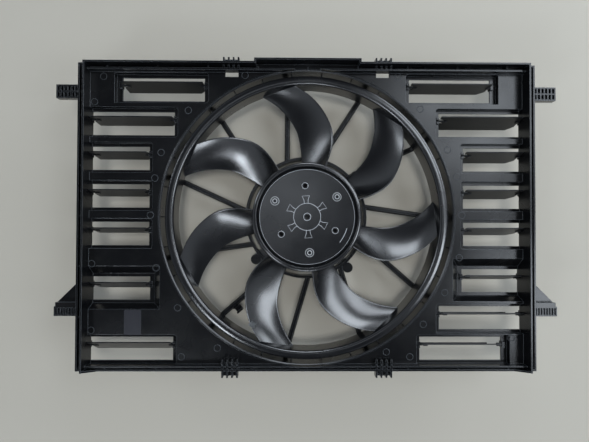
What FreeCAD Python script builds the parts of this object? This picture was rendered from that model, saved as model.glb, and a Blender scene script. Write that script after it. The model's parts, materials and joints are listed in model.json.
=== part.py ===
import FreeCAD, Part
import math
import os
from FreeCAD import Vector

# Radiator fan shroud with a brushless fan and fifteen ram-air flaps.
# Millimetres. Z is the fan axis and points at the radiator, Y points at the
# top of the radiator, X along its length. The origin is on the fan axis, on
# the rear face of the motor, which is the lowest face when the shroud lies
# on its back.

# ---------------------------------------------------------------- sizes
# frame
SIDE_PANEL = 107.5          # from the duct's bore to the outside of a tall side wall
EDGE_ROOM = 7.5             # from the duct's bore to the outside of the top and bottom walls
RIM_Z = 105.0               # front edge of the tall walls
PANEL_Z = 85.0              # front face of the panel
PANEL_T = 2.5               # wall thickness of the moulding
LOW_WALL = 10.0             # height of the low walls above the panel
SIDE_CHANNEL = 8.5          # gap between tall side wall and outer side wall
TOP_CHANNEL = 4.5           # gap between top wall and the low wall inside it
BOTTOM_CHANNEL = 2.6        # the same at the bottom
CHANNEL_RIB_PITCH = 74.0
CHANNEL_RIB_T = 1.6
CHANNEL_RIB_H = 6.0
CORNER_RAMP = 22.0          # length of the ramps at the lower corners
TOP_BULGE_LENGTH = 156.0    # where the top wall steps out round the duct
TOP_BULGE_OUT = 5.0

# duct, struts and motor carrier
DUCT_R = 217.5              # bore of the duct
DUCT_REAR_Z = 18.0
LIP_WIDTH = 4.0             # bead round the mouth of the duct
LIP_RISE = 1.6
LIP_BEVEL = 1.6
BAFFLES = 30                # small ribs in the duct behind the fan's flange
BAFFLE_T = 1.4
BAFFLE_REACH = 7.0
BAFFLE_Z = (38.0, 70.0)
STRUTS = 11
STRUT_OFFSET = 30.0         # distance of a strut's centre line from the axis
STRUT_W = 8.4
STRUT_WEB_T = 3.0
STRUT_NOSE = (4.0, 3.4)     # width of the flat front of a strut, depth of its nose
STRUT_FRONT_Z = 44.0
STRUT_REAR_Z = 24.0
CARRIER_R = 92.0            # bore of the motor carrier ring
CARRIER_T = 4.0
CABLE_CLIP_STRUT = 4        # the strut that carries the two cable clips
CABLE_CLIP_AT = (146.0, 176.0)
CABLE_CLIP_SIZE = 11.0

# windows in the panel and their flaps
WINDOW_TO_DUCT = 19.0       # from the duct's bore to the end of a short window
WINDOW_EXTRA = 37.0         # what a long window has more, where the duct curves away
WINDOW_HEIGHT = 35.0
POCKET_DEPTH = 9.0
POCKET_TOP = 5.0            # ledge of the pocket above its window
POCKET_BOTTOM = 4.5
POCKET_INNER_END = 7.0      # ledge at the end near the duct
POCKET_OUTER_END = 9.0      # ledge at the far end, where there is no side wall
POCKET_CORNER_R = 4.0
RAMP_DEPTH = 15.0           # the two low windows sit in deeper, sloped pockets
RAMP_RUN = 14.0             # run of the slopes beside and above such a window
RAMP_FOOT = 8.0             # run of the slope below it

PIVOT_FROM_TOP = 11.5       # flap axis below the window's upper edge
PIVOT_BELOW_LEDGE = 0.4
PIN_R = 1.8
PIN_SIDES = 8
PIN_FIT = 0.05              # running clearance of a flap pin in its bearing
BEARING_T = 4.0
BEARING_H = 9.0
BEARING_RISE = 3.4
BEARING_DROP = 5.6
SNAP_MOUTH = 2.8
FLAP_T = 1.6
FLAP_OVERLAP = 2.2          # how far a closed flap covers the ledge
FLAP_END_GAP = 0.8
FLAP_BOSS = 5.0
FLAP_CHAMFER = (9.0, 11.0)
FLAP_NOTCH = (6.0, 5.0)
FLAP_EDGE_RIB = 2.6

# fan
FAN_BLADES = 7
FAN_GAP = 6.0               # between the duct's bore and the flange of the fan ring
FAN_FLANGE_W = 12.5         # from the flange's edge to the inside of the ring
FAN_RING_T = 2.4
FAN_RING_Z = (50.0, 84.0)
FAN_RING_CREST_R = 5.0
HUB_R = 81.5
HUB_FRONT_Z = 91.0
HUB_REAR_Z = 42.0
HUB_T = 2.6
HUB_EDGE_R = 5.0
HUB_RIM_W = 6.5             # from the outside of the hub to the groove
HUB_GROOVE_W = 4.5
HUB_GROOVE_DEPTH = 6.0
HUB_DISC_DROP = 1.2
HUB_DISC_T = 3.2
HUB_RIBS = 7
HUB_RIB_T = 1.8
FAN_SCREWS = 3
FAN_SCREW_PCD = 106.0
FAN_SCREW_TURN = 34.0       # angle of the first fan screw from +X
PLAIN_HOLE_PCD = 92.0
PLAIN_HOLE_TURN = 94.0
PLAIN_HOLE_R = 2.6
HUB_BOSS_R = 6.0
BLADE_T = 3.2
BLADE_EDGE_T = 1.6
BLADE_ROOT_SINK = 5.5       # how far a blade's ends run into the hub and the ring
BLADE_TIP_SINK = 0.6

BALANCE_CLIP = (10.0, 8.0, 5.0)
BALANCE_LAP = 1.8           # how far the balance clip stands out past the blade
BALANCE_BLADE = 3           # the blade it is pushed on

# motor
SHAFT_R = 5.0
SHAFT_BORE_FIT = 0.02
BELL_R = 68.0
BELL_T = 2.0
BELL_FRONT_Z = 79.0
BELL_REAR_Z = 36.0
MAGNETS = 10
MAGNET_T = 4.5
MAGNET_GAP = 4.4            # between neighbouring magnets, at their inner faces
GLUE = 0.1
MAGNET_LENGTH = 30.0
AIR_GAP = 0.8
STATOR_TEETH = 9
STATOR_LENGTH = 26.0
STATOR_BORE = 19.0
STATOR_YOKE_R = 30.0
TOOTH_W = 7.0
TOOTH_TIP_T = 3.0
TOOTH_GAP = 6.6             # between neighbouring tooth tips
COIL_T = 3.0
BEARING_R = 12.0
BEARING_W = 9.0
BASE_GAP = 4.0              # between the base and the carrier ring
BASE_Z = (15.0, 23.0)
LUGS = 4
LUG_TURN = 40.0
LUG_OUT = 11.0              # from the carrier's bore to the middle of a lug
LUG_R = 8.0
MOTOR_SCREW_R = 2.5
MOTOR_SCREW_REACH = 15.0    # how far a motor screw goes into the carrier
SCREW_HEAD_R = 5.0
SCREW_HEAD_H = 3.0
SCREW_FIT = 0.05
SHAFT_ROOM = 1.0            # free space round the shaft and behind its end
FINS = 12
FIN_T = 2.2
FIN_Z = 5.0
FIN_BAND = 26.0             # from the edge of the base to the cover
COVER_T = 2.5
BOARD_T = 1.6
BOARD_GAP = 4.3             # from the board's corners to the cover
CAPACITORS = 3
CAPACITOR_W = 12.0
CAPACITOR_LENGTH = 11.0
SOCKET_TURN = 175.0
SOCKET_W = 26.0
SOCKET_H = 12.0
SOCKET_LENGTH = 20.0
SOCKET_T = 2.0
PIN_LENGTH = 12.0
PIN_T = 1.2
POWER_PIN = (7.5, 4.0)      # distance from the middle of the socket, width
SIGNAL_PIN = (1.5, 1.2)

CLEAR = 0.3                 # gap between pieces that only pass each other

# side tabs and edge clips
TAB_REACH = 34.0            # out from the outer side wall
TAB_Z = (80.0, 90.0)
TAB_WALL = 2.0
UPPER_TAB_Y = (174.0, 194.0)
GUSSET_Y = (-128.0, -92.0)
LOWER_TAB_Y = (-146.0, -132.0)
CLIP_X = 112.5
CLIP_W = 24.0
CLIP_RIBS = 4
CLIP_RIB_T = 2.4
CLIP_OUT = 9.5
CLIP_SLOT = 7.0

# windows: name, distance from the side wall, place of the row as a share of
# the half height, long or short, "flat" or "ramp" pocket, and the angle from
# straight back at which the flap hangs
WINDOWS = (
    ("left_1", 45.0, 0.8511, "long", "flat", 6.0),
    ("left_2", 0.0, 0.6222, "long", "flat", 6.0),
    ("left_3", 0.0, 0.3889, "short", "flat", 7.0),
    ("left_4", 0.0, 0.1378, "short", "flat", 10.0),
    ("left_5", 0.0, -0.1133, "short", "flat", 10.0),
    ("left_6", 0.0, -0.4800, "short", "ramp", 17.0),
    ("left_7", 0.0, -0.8756, "long", "flat", 26.0),
    ("right_1", 45.0, 0.8511, "long", "flat", 4.0),
    ("right_2", 0.0, 0.6222, "long", "flat", 15.0),
    ("right_3", 0.0, 0.3889, "short", "flat", 15.0),
    ("right_4", 0.0, 0.1378, "short", "flat", 15.0),
    ("right_5", 0.0, -0.1133, "short", "flat", 15.0),
    ("right_6", 0.0, -0.4267, "short", "ramp", 13.0),
    ("right_7", 0.0, -0.6711, "long", "flat", 13.0),
    ("right_8", 29.5, -0.8756, "long", "flat", 16.0),
)

# blade sections: share of the way from the root to the tip, angle of the
# leading edge, angle of the trailing edge, height of the leading edge and of
# the trailing edge above the origin
BLADE_STATIONS = (
    (0.0, 70.0, 94.2, 86.2, 49.8),
    (0.2265, 70.4, 94.4, 85.0, 51.0),
    (0.4369, 73.6, 96.0, 83.0, 53.0),
    (0.6472, 80.5, 100.4, 80.0, 55.0),
    (0.8414, 88.3, 105.6, 77.5, 55.5),
    (1.0, 96.0, 110.5, 76.0, 55.0),
)
BLADE_CAMBER = 0.09         # height of the camber arc over the chord

# ---------------------------------------------------------------- derived
HALF_X = DUCT_R + SIDE_PANEL
HALF_Y = DUCT_R + EDGE_ROOM
INNER_X = HALF_X - PANEL_T
PANEL_REAR_Z = PANEL_Z - PANEL_T
LOW_Z = PANEL_Z + LOW_WALL
OUTER_X = HALF_X + SIDE_CHANNEL + PANEL_T
CARRIER_OUTER_R = CARRIER_R + CARRIER_T
CARRIER_REAR_Z = BASE_Z[1]
WINDOW_SHORT = INNER_X - DUCT_R - WINDOW_TO_DUCT
WINDOW_LONG = WINDOW_SHORT + WINDOW_EXTRA
FLAP_NEAR = PIVOT_FROM_TOP + FLAP_OVERLAP
FLAP_FAR = WINDOW_HEIGHT - PIVOT_FROM_TOP + FLAP_OVERLAP
FAN_RING_FLANGE_R = DUCT_R - FAN_GAP
FAN_TIP_R = FAN_RING_FLANGE_R - FAN_FLANGE_W
BLADE_ROOT_R = HUB_R - BLADE_ROOT_SINK
BLADE_TIP_R = FAN_TIP_R + BLADE_TIP_SINK
GROOVE_OUT_R = HUB_R - HUB_RIM_W
GROOVE_IN_R = GROOVE_OUT_R - HUB_GROOVE_W
LUG_PCD = 2 * (CARRIER_R + LUG_OUT)
BASE_R = CARRIER_R - BASE_GAP
COVER_R = BASE_R - FIN_BAND
BOARD_SIDE = math.sqrt(2) * (COVER_R - COVER_T - BOARD_GAP)

# A flat bar of half width h touches the bell at sqrt(r * r - h * h). The bars
# are as wide as their inner faces and the gap between them let them be.
MAGNET_SEAT_R = BELL_R - BELL_T - GLUE
MAGNET_SLOPE = math.tan(math.pi / MAGNETS)
MAGNET_IN = MAGNET_T + MAGNET_GAP / (2 * MAGNET_SLOPE)
MAGNET_SUM = 1 + MAGNET_SLOPE ** 2
MAGNET_LEAN = MAGNET_SLOPE ** 2 * MAGNET_IN
MAGNET_ROOT = math.sqrt(MAGNET_SUM * MAGNET_SEAT_R ** 2 - MAGNET_LEAN * MAGNET_IN)
MAGNET_BACK = (MAGNET_LEAN + MAGNET_ROOT) / MAGNET_SUM
MAGNET_HALF = MAGNET_SLOPE * (MAGNET_BACK - MAGNET_IN)

# The flat faces of the teeth reach the air gap with their corners.
STATOR_R = MAGNET_BACK - MAGNET_T - AIR_GAP
TOOTH_SLOPE = math.tan(math.pi / STATOR_TEETH)
TOOTH_IN = TOOTH_GAP / (2 * TOOTH_SLOPE)
TOOTH_SUM = 1 + TOOTH_SLOPE ** 2
TOOTH_LEAN = TOOTH_SLOPE ** 2 * TOOTH_IN
STATOR_FACE = (TOOTH_LEAN + math.sqrt(TOOTH_SUM * STATOR_R ** 2 - TOOTH_LEAN * TOOTH_IN)) / TOOTH_SUM
TOOTH_TIP_HALF = TOOTH_SLOPE * (STATOR_FACE - TOOTH_IN)


# ---------------------------------------------------------------- helpers
def box(x0, x1, y0, y1, z0, z1):
    """A block between two opposite corners."""
    return Part.makeBox(x1 - x0, y1 - y0, z1 - z0, Vector(x0, y0, z0))


def rounded_box(x0, x1, y0, y1, z0, z1, radius, side):
    """A block rounded on the two upright edges of its end that faces the duct."""
    block = box(x0, x1, y0, y1, z0, z1)
    end = x1 if side < 0 else x0
    upright = []
    for edge in block.Edges:
        a, b = edge.Vertexes[0].Point, edge.Vertexes[1].Point
        if abs(a.z - b.z) > (z1 - z0) / 2 and abs(a.x - end) < radius:
            upright.append(edge)
    return block.makeFillet(radius, upright)


def disc(radius, z0, z1, x=0.0, y=0.0):
    """An upright cylinder."""
    return Part.makeCylinder(radius, z1 - z0, Vector(x, y, z0))


def tube(outer, inner, z0, z1, x=0.0, y=0.0):
    """An upright tube."""
    return disc(outer, z0, z1, x, y).cut(disc(inner, z0, z1, x, y))


def pin_along_x(radius, x0, x1, y, z):
    """A pin with flats that lies along X."""
    corners = []
    for k in range(PIN_SIDES + 1):
        angle = 2 * math.pi * (k + 0.5) / PIN_SIDES
        corners.append(Vector(x0, y + radius * math.cos(angle), z + radius * math.sin(angle)))
    return Part.Face(Part.makePolygon(corners)).extrude(Vector(x1 - x0, 0, 0))


def revolved(outline):
    """A closed outline of (radius, height) corners turned about the axis."""
    corners = [Vector(r, 0, z) for r, z in outline]
    face = Part.Face(Part.makePolygon(corners + corners[:1]))
    return face.revolve(Vector(0, 0, 0), Vector(0, 0, 1), 360)


def prism_xy(outline, z0, z1):
    """An outline of (x, y) corners raised from z0 to z1."""
    corners = [Vector(x, y, z0) for x, y in outline]
    return Part.Face(Part.makePolygon(corners + corners[:1])).extrude(Vector(0, 0, z1 - z0))


def turned(shape, degrees):
    """A copy turned about the fan axis."""
    copy = shape.copy()
    copy.rotate(Vector(0, 0, 0), Vector(0, 0, 1), degrees)
    return copy


def around(shape, count, start=0.0):
    """Equally spaced copies about the fan axis."""
    return [turned(shape, start + 360.0 * k / count) for k in range(count)]


def on_circle(diameter, degrees):
    """The x and y of a point on a pitch circle."""
    angle = math.radians(degrees)
    return diameter / 2 * math.cos(angle), diameter / 2 * math.sin(angle)


def places(diameter, count, start):
    """Equally spaced points on a pitch circle."""
    return [on_circle(diameter, start + 360.0 * k / count) for k in range(count)]


def joined(first, others):
    """One solid from touching solids."""
    return first.multiFuse(others).removeSplitter()


# ---------------------------------------------------------------- windows
def window_frame(entry):
    """All the places that belong to one window and its flap."""
    name, wall_gap, row, size, kind, hang = entry
    side = -1 if name.startswith("left") else 1
    length = WINDOW_LONG if size == "long" else WINDOW_SHORT
    centre_x = side * (INNER_X - wall_gap - length / 2)
    centre_y = row * HALF_Y
    ledge_z = PANEL_Z - (RAMP_DEPTH if kind == "ramp" else POCKET_DEPTH)
    return {
        "name": name,
        "side": side,
        "at_wall": wall_gap == 0.0,
        "kind": kind,
        "hang": hang,
        "x0": centre_x - length / 2,
        "x1": centre_x + length / 2,
        "y0": centre_y - WINDOW_HEIGHT / 2,
        "y1": centre_y + WINDOW_HEIGHT / 2,
        "ledge_z": ledge_z,
        "axis_y": centre_y + WINDOW_HEIGHT / 2 - PIVOT_FROM_TOP,
        "axis_z": ledge_z - PIVOT_BELOW_LEDGE,
    }


def pocket_outline(w):
    """Inner faces of the pocket round a window: x0, x1, y0, y1."""
    inner_end = POCKET_INNER_END
    outer_end = 0.0 if w["at_wall"] else POCKET_OUTER_END
    left = outer_end if w["side"] < 0 else inner_end
    right = inner_end if w["side"] < 0 else outer_end
    return w["x0"] - left, w["x1"] + right, w["y0"] - POCKET_BOTTOM, w["y1"] + POCKET_TOP


def sloped_block(outline, run, foot, z0, z1, side):
    """A block that widens towards the front on its three free sides."""
    x0, x1, y0, y1 = outline
    wide_left = run if side > 0 else 0.0
    wide_right = run if side < 0 else 0.0
    low = [Vector(x, y, z0) for x, y in ((x0, y0), (x1, y0), (x1, y1), (x0, y1))]
    top = (
        (x0 - wide_left, y0 - foot),
        (x1 + wide_right, y0 - foot),
        (x1 + wide_right, y1 + run),
        (x0 - wide_left, y1 + run),
    )
    high = [Vector(x, y, z1) for x, y in top]
    faces = [Part.Face(Part.makePolygon(ring + ring[:1])) for ring in (low, high)]
    for k in range(4):
        side_face = [low[k], low[(k + 1) % 4], high[(k + 1) % 4], high[k], low[k]]
        faces.append(Part.Face(Part.makePolygon(side_face)))
    return Part.makeSolid(Part.makeShell(faces))


def pocket_shell(w):
    """Outside of the pocket, before it is hollowed."""
    x0, x1, y0, y1 = pocket_outline(w)
    grown = (x0 - PANEL_T, x1 + PANEL_T, y0 - PANEL_T, y1 + PANEL_T)
    floor_z = w["ledge_z"] - PANEL_T
    if w["kind"] == "ramp":
        return sloped_block(grown, RAMP_RUN, RAMP_FOOT, floor_z, PANEL_Z, w["side"])
    return box(*grown, floor_z, PANEL_Z)


def pocket_hollow(w):
    """What is taken out of the pocket and the window through its floor."""
    x0, x1, y0, y1 = pocket_outline(w)
    over = PANEL_Z + PANEL_T
    if w["kind"] == "ramp":
        rise = (over - w["ledge_z"]) / (PANEL_Z - w["ledge_z"] + PANEL_T)
        run, foot = RAMP_RUN * rise, RAMP_FOOT * rise
        hollow = sloped_block((x0, x1, y0, y1), run, foot, w["ledge_z"], over, w["side"])
    else:
        hollow = rounded_box(x0, x1, y0, y1, w["ledge_z"], over, POCKET_CORNER_R, w["side"])
    rear = w["ledge_z"] - BEARING_DROP - PANEL_T
    opening = box(w["x0"], w["x1"], w["y0"], w["y1"], rear, over)
    return hollow, opening


def bearings(w):
    """The blocks that carry a flap's pins, and the bores and snap mouth in them."""
    y, z = w["axis_y"], w["axis_z"]
    half = BEARING_H / 2
    room = PIN_R + PIN_FIT
    z0, z1 = w["ledge_z"] - BEARING_DROP, w["ledge_z"] + BEARING_RISE
    blocks, cuts = [], []
    for end, out in ((w["x0"], -1), (w["x1"], 1)):
        wall_end = w["at_wall"] and out == w["side"]
        thick = PANEL_T if wall_end else BEARING_T
        near, far = sorted((end, end + out * thick))
        blocks.append(box(near, far, y - half, y + half, z0, z1))
        cuts.append(box(near, far, y - room, y + room, z - room, z + room))
        if out == -w["side"]:
            mouth = SNAP_MOUTH / 2
            cuts.append(box(near, far, y - mouth, y + mouth, z, z1))
    return blocks, cuts


# ---------------------------------------------------------------- moulding
def walls():
    """Perimeter walls, the channels between them and the ribs in the channels."""
    low_top_y = HALF_Y - PANEL_T - TOP_CHANNEL
    low_bottom_y = -HALF_Y + PANEL_T + BOTTOM_CHANNEL
    z0 = PANEL_REAR_Z
    parts = []
    for side in (-1, 1):
        tall = sorted((side * INNER_X, side * HALF_X))
        outer = sorted((side * (OUTER_X - PANEL_T), side * OUTER_X))
        parts.append(box(*tall, -HALF_Y, HALF_Y, z0, RIM_Z))
        parts.append(box(*outer, -HALF_Y, HALF_Y, z0, LOW_Z))
    parts.append(box(-HALF_X, HALF_X, HALF_Y - PANEL_T, HALF_Y, z0, RIM_Z))
    parts.append(box(-HALF_X, HALF_X, low_top_y - PANEL_T, low_top_y, z0, LOW_Z))
    parts.append(box(-HALF_X, HALF_X, -HALF_Y, -HALF_Y + PANEL_T, z0, LOW_Z))
    parts.append(box(-HALF_X, HALF_X, low_bottom_y, low_bottom_y + PANEL_T, z0, LOW_Z))
    for side in (-1, 1):
        for y in (HALF_Y, -HALF_Y):
            inward = math.copysign(PANEL_T, -y)
            end = sorted((side * HALF_X, side * OUTER_X))
            parts.append(box(*end, *sorted((y, y + inward)), z0, LOW_Z))
        ramp = [
            Vector(side * HALF_X, -HALF_Y, LOW_Z),
            Vector(side * (HALF_X - CORNER_RAMP), -HALF_Y, LOW_Z),
            Vector(side * HALF_X, -HALF_Y, RIM_Z),
        ]
        face = Part.Face(Part.makePolygon(ramp + ramp[:1]))
        parts.append(face.extrude(Vector(0, PANEL_T, 0)))
    return parts + channel_ribs(low_top_y, low_bottom_y)


def channel_ribs(low_top_y, low_bottom_y):
    """Cross ribs that tie each pair of walls together."""
    parts = []
    rib_top = PANEL_Z + CHANNEL_RIB_H
    along_y = int(HALF_Y / CHANNEL_RIB_PITCH)
    for k in range(-along_y, along_y + 1):
        y = k * CHANNEL_RIB_PITCH
        for side in (-1, 1):
            span = sorted((side * HALF_X, side * OUTER_X))
            parts.append(box(*span, y, y + CHANNEL_RIB_T, PANEL_REAR_Z, rib_top))
    along_x = int(HALF_X / CHANNEL_RIB_PITCH)
    for k in range(-along_x, along_x + 1):
        x = k * CHANNEL_RIB_PITCH
        parts.append(box(x, x + CHANNEL_RIB_T, low_top_y, HALF_Y - PANEL_T, PANEL_REAR_Z, rib_top))
        parts.append(box(x, x + CHANNEL_RIB_T, -HALF_Y + PANEL_T, low_bottom_y, PANEL_REAR_Z, rib_top))
    return parts


def duct():
    """The duct round the fan with the bead at its mouth."""
    outer = DUCT_R + PANEL_T
    bead = DUCT_R + LIP_WIDTH
    crown = PANEL_Z + LIP_RISE
    outline = [
        (DUCT_R, DUCT_REAR_Z),
        (outer, DUCT_REAR_Z),
        (outer, PANEL_REAR_Z),
        (bead, PANEL_REAR_Z),
        (bead, PANEL_Z),
        (bead - LIP_BEVEL, crown),
        (DUCT_R + LIP_BEVEL, crown),
        (DUCT_R, PANEL_Z),
    ]
    return revolved(outline)


def baffle():
    """One small rib on the wall of the duct, behind the flange of the fan ring."""
    half = BAFFLE_T / 2
    return box(DUCT_R - BAFFLE_REACH, DUCT_R + PANEL_T / 2, -half, half, *BAFFLE_Z)


def strut():
    """A strut with a bevelled nose towards the fan and a thin web behind it."""
    centre = -STRUT_OFFSET
    half, web = STRUT_W / 2, STRUT_WEB_T / 2
    flat, depth = STRUT_NOSE[0] / 2, STRUT_NOSE[1]
    start = math.sqrt((CARRIER_R + CARRIER_T / 2) ** 2 - STRUT_OFFSET ** 2)
    stop = math.sqrt((DUCT_R + PANEL_T / 2) ** 2 - (STRUT_OFFSET + half) ** 2)
    shoulder = STRUT_FRONT_Z - depth
    section = [
        (-web, STRUT_REAR_Z),
        (web, STRUT_REAR_Z),
        (web, shoulder - depth),
        (half, shoulder),
        (flat, STRUT_FRONT_Z),
        (-flat, STRUT_FRONT_Z),
        (-half, shoulder),
        (-web, shoulder - depth),
    ]
    corners = [Vector(centre + x, start, z) for x, z in section]
    return Part.Face(Part.makePolygon(corners + corners[:1])).extrude(Vector(0, stop - start, 0))


def cable_clip(distance):
    """An open square clip on the side of a strut."""
    centre = -STRUT_OFFSET - STRUT_W / 2
    far = centre - CABLE_CLIP_SIZE
    y0, y1 = distance - CABLE_CLIP_SIZE / 2, distance + CABLE_CLIP_SIZE / 2
    top = STRUT_FRONT_Z - STRUT_W / 2
    block = box(far, -STRUT_OFFSET, y0, y1, top - CABLE_CLIP_SIZE, top)
    wall = STRUT_WEB_T
    hollow = box(far + wall, centre - wall / 2, y0 - wall, y1 + wall, top - CABLE_CLIP_SIZE + wall, top + wall)
    return block.cut(hollow)


def motor_carrier():
    """The ring the motor bolts to, with a boss for each motor screw."""
    ring = tube(CARRIER_OUTER_R, CARRIER_R, CARRIER_REAR_Z, STRUT_FRONT_Z)
    spots = places(LUG_PCD, LUGS, LUG_TURN)
    return [ring] + [disc(LUG_R, CARRIER_REAR_Z, STRUT_FRONT_Z, x, y) for x, y in spots]


def lug_holes(radius, z0, z1):
    """Holes on the motor's lug circle."""
    return [disc(radius, z0, z1, x, y) for x, y in places(LUG_PCD, LUGS, LUG_TURN)]


def celled_tab(y0, y1, side, rows, columns):
    """A hooked side tab made of thin walls round small open cells."""
    root, tip = OUTER_X - PANEL_T, OUTER_X + TAB_REACH
    tab = box(*sorted((side * root, side * tip)), y0, y1, *TAB_Z)
    cells = []
    cell_x = (tip - OUTER_X - TAB_WALL) / columns
    cell_y = (y1 - y0 - TAB_WALL) / rows
    for row in range(rows):
        for column in range(columns):
            a = OUTER_X + TAB_WALL + column * cell_x
            b = a + cell_x - TAB_WALL
            low = y0 + TAB_WALL + row * cell_y
            span = sorted((side * a, side * b))
            cells.append(box(*span, low, low + cell_y - TAB_WALL, TAB_Z[0] + TAB_WALL, TAB_Z[1]))
    return tab.cut(Part.makeCompound(cells))


def side_tabs():
    """Two upper tabs, and two lower tabs under a gusset plate."""
    parts = []
    for side in (-1, 1):
        parts.append(celled_tab(*UPPER_TAB_Y, side, 2, 6))
        parts.append(celled_tab(*LOWER_TAB_Y, side, 1, 8))
        root, tip = side * (OUTER_X - PANEL_T), side * (OUTER_X + TAB_REACH - TAB_WALL)
        low, high = GUSSET_Y
        outline = [(root, low), (tip, low), (tip, low + TAB_WALL), (root, high)]
        parts.append(prism_xy(outline, TAB_Z[0], TAB_Z[0] + PANEL_T))
        ledge = sorted((root, tip))
        parts.append(box(*ledge, LOWER_TAB_Y[1], low + TAB_WALL, TAB_Z[0], TAB_Z[1]))
    return parts


def edge_clips():
    """Ribbed clips on the top and bottom edges and the slot in front of each."""
    parts, slots = [], []
    for x in (-CLIP_X, CLIP_X):
        for up in (-1, 1):
            edge = HALF_Y - TOP_CHANNEL - 2 * PANEL_T
            inner, outer = up * (edge - CLIP_SLOT), up * (HALF_Y + CLIP_OUT)
            half = CLIP_W / 2
            plate = sorted((inner, outer))
            parts.append(box(x - half, x + half, *plate, PANEL_REAR_Z, PANEL_Z))
            pitch = (CLIP_W - CLIP_RIB_T) / (CLIP_RIBS - 1)
            for k in range(CLIP_RIBS):
                rib = x - half + k * pitch
                parts.append(box(rib, rib + CLIP_RIB_T, *sorted((up * edge, outer)), PANEL_Z, LOW_Z))
            slot = sorted((inner, up * edge))
            slots.append(box(x - half + CLIP_RIB_T, x + half - CLIP_RIB_T, *slot, PANEL_REAR_Z, PANEL_Z))
    return parts, slots


def top_bulge():
    """The stretch of the top wall that steps out round the duct."""
    half = TOP_BULGE_LENGTH / 2
    outer = HALF_Y + TOP_BULGE_OUT
    wall = box(-half, half, HALF_Y, outer, PANEL_REAR_Z, RIM_Z)
    inner = half - PANEL_T
    hollow = box(-inner, inner, HALF_Y - PANEL_T, outer - PANEL_T, PANEL_Z, RIM_Z)
    return wall, hollow


def shroud_moulding():
    """The one-piece moulding: tray, flap pockets, duct, struts and motor carrier."""
    plate = box(-OUTER_X, OUTER_X, -HALF_Y, HALF_Y, PANEL_REAR_Z, PANEL_Z)
    clip_parts, clip_slots = edge_clips()
    bulge, bulge_hollow = top_bulge()
    frames = [window_frame(entry) for entry in WINDOWS]
    shells = [pocket_shell(w) for w in frames]
    tray = joined(plate, walls() + clip_parts + side_tabs() + [bulge] + shells)
    hollows, openings, blocks, bores = [], [], [], []
    for w in frames:
        hollow, opening = pocket_hollow(w)
        hollows.append(hollow)
        openings.append(opening)
        new_blocks, new_bores = bearings(w)
        blocks.extend(new_blocks)
        bores.extend(new_bores)
    inside = box(-INNER_X, INNER_X, -HALF_Y, HALF_Y, 0, RIM_Z + PANEL_T)
    hollows = [h.common(inside) for h in hollows]
    bore = disc(DUCT_R + PANEL_T / 2, 0, RIM_Z + PANEL_T)
    tray = tray.cut(Part.makeCompound(hollows + clip_slots + [bulge_hollow]))
    tray = tray.cut(bore)
    struts = around(strut(), STRUTS)
    clips = [turned(cable_clip(d), 360.0 * CABLE_CLIP_STRUT / STRUTS) for d in CABLE_CLIP_AT]
    bosses = motor_carrier()
    rest = struts + clips + bosses + around(baffle(), BAFFLES) + blocks
    whole = joined(tray, [duct()] + rest)
    hub_space = disc(CARRIER_R, 0, STRUT_FRONT_Z + PANEL_T)
    screw_bores = lug_holes(MOTOR_SCREW_R + SCREW_FIT, CARRIER_REAR_Z, STRUT_FRONT_Z - PANEL_T)
    whole = whole.cut(Part.makeCompound([hub_space] + screw_bores + openings + bores))
    return whole.removeSplitter()


# ---------------------------------------------------------------- flaps
def flap(w):
    """A louver flap on its two pins, drawn hanging straight back, then tilted."""
    y, z = w["axis_y"], w["axis_z"]
    x0, x1 = w["x0"] + FLAP_END_GAP, w["x1"] - FLAP_END_GAP
    half = FLAP_T / 2
    top, bottom = z + FLAP_NEAR, z - FLAP_FAR
    notch_x, notch_z = FLAP_NOTCH
    cut_x, cut_z = FLAP_CHAMFER
    outline = [
        (x0, bottom),
        (x1 - cut_x, bottom),
        (x1, bottom + cut_z),
        (x1, top),
        (x0, top),
    ]
    corners = [Vector(px, y - half, pz) for px, pz in outline]
    plate = Part.Face(Part.makePolygon(corners + corners[:1])).extrude(Vector(0, FLAP_T, 0))
    for low, high in ((z + PIN_R, z + PIN_R + notch_z), (z - PIN_R - notch_z, z - PIN_R)):
        plate = plate.cut(box(x0, x0 + notch_x, y - half, y + half, low, high))
    rib = box(x0 + notch_x, x1 - cut_x, y + half, y + half + FLAP_EDGE_RIB, bottom, bottom + FLAP_T)
    boss = FLAP_BOSS / 2
    parts = [rib]
    for end, out, inset in ((w["x0"], -1, notch_x + FLAP_END_GAP), (w["x1"], 1, FLAP_END_GAP)):
        reach = PANEL_T if w["at_wall"] and out == w["side"] else BEARING_T
        seat = end - out * inset
        parts.append(box(*sorted((seat, seat - out * FLAP_BOSS)), y - boss, y + boss, z - boss, z + boss))
        parts.append(pin_along_x(PIN_R, *sorted((seat, end + out * reach)), y, z))
    solid = joined(plate, parts)
    solid.rotate(Vector(0, y, z), Vector(1, 0, 0), -w["hang"])
    return solid


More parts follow.
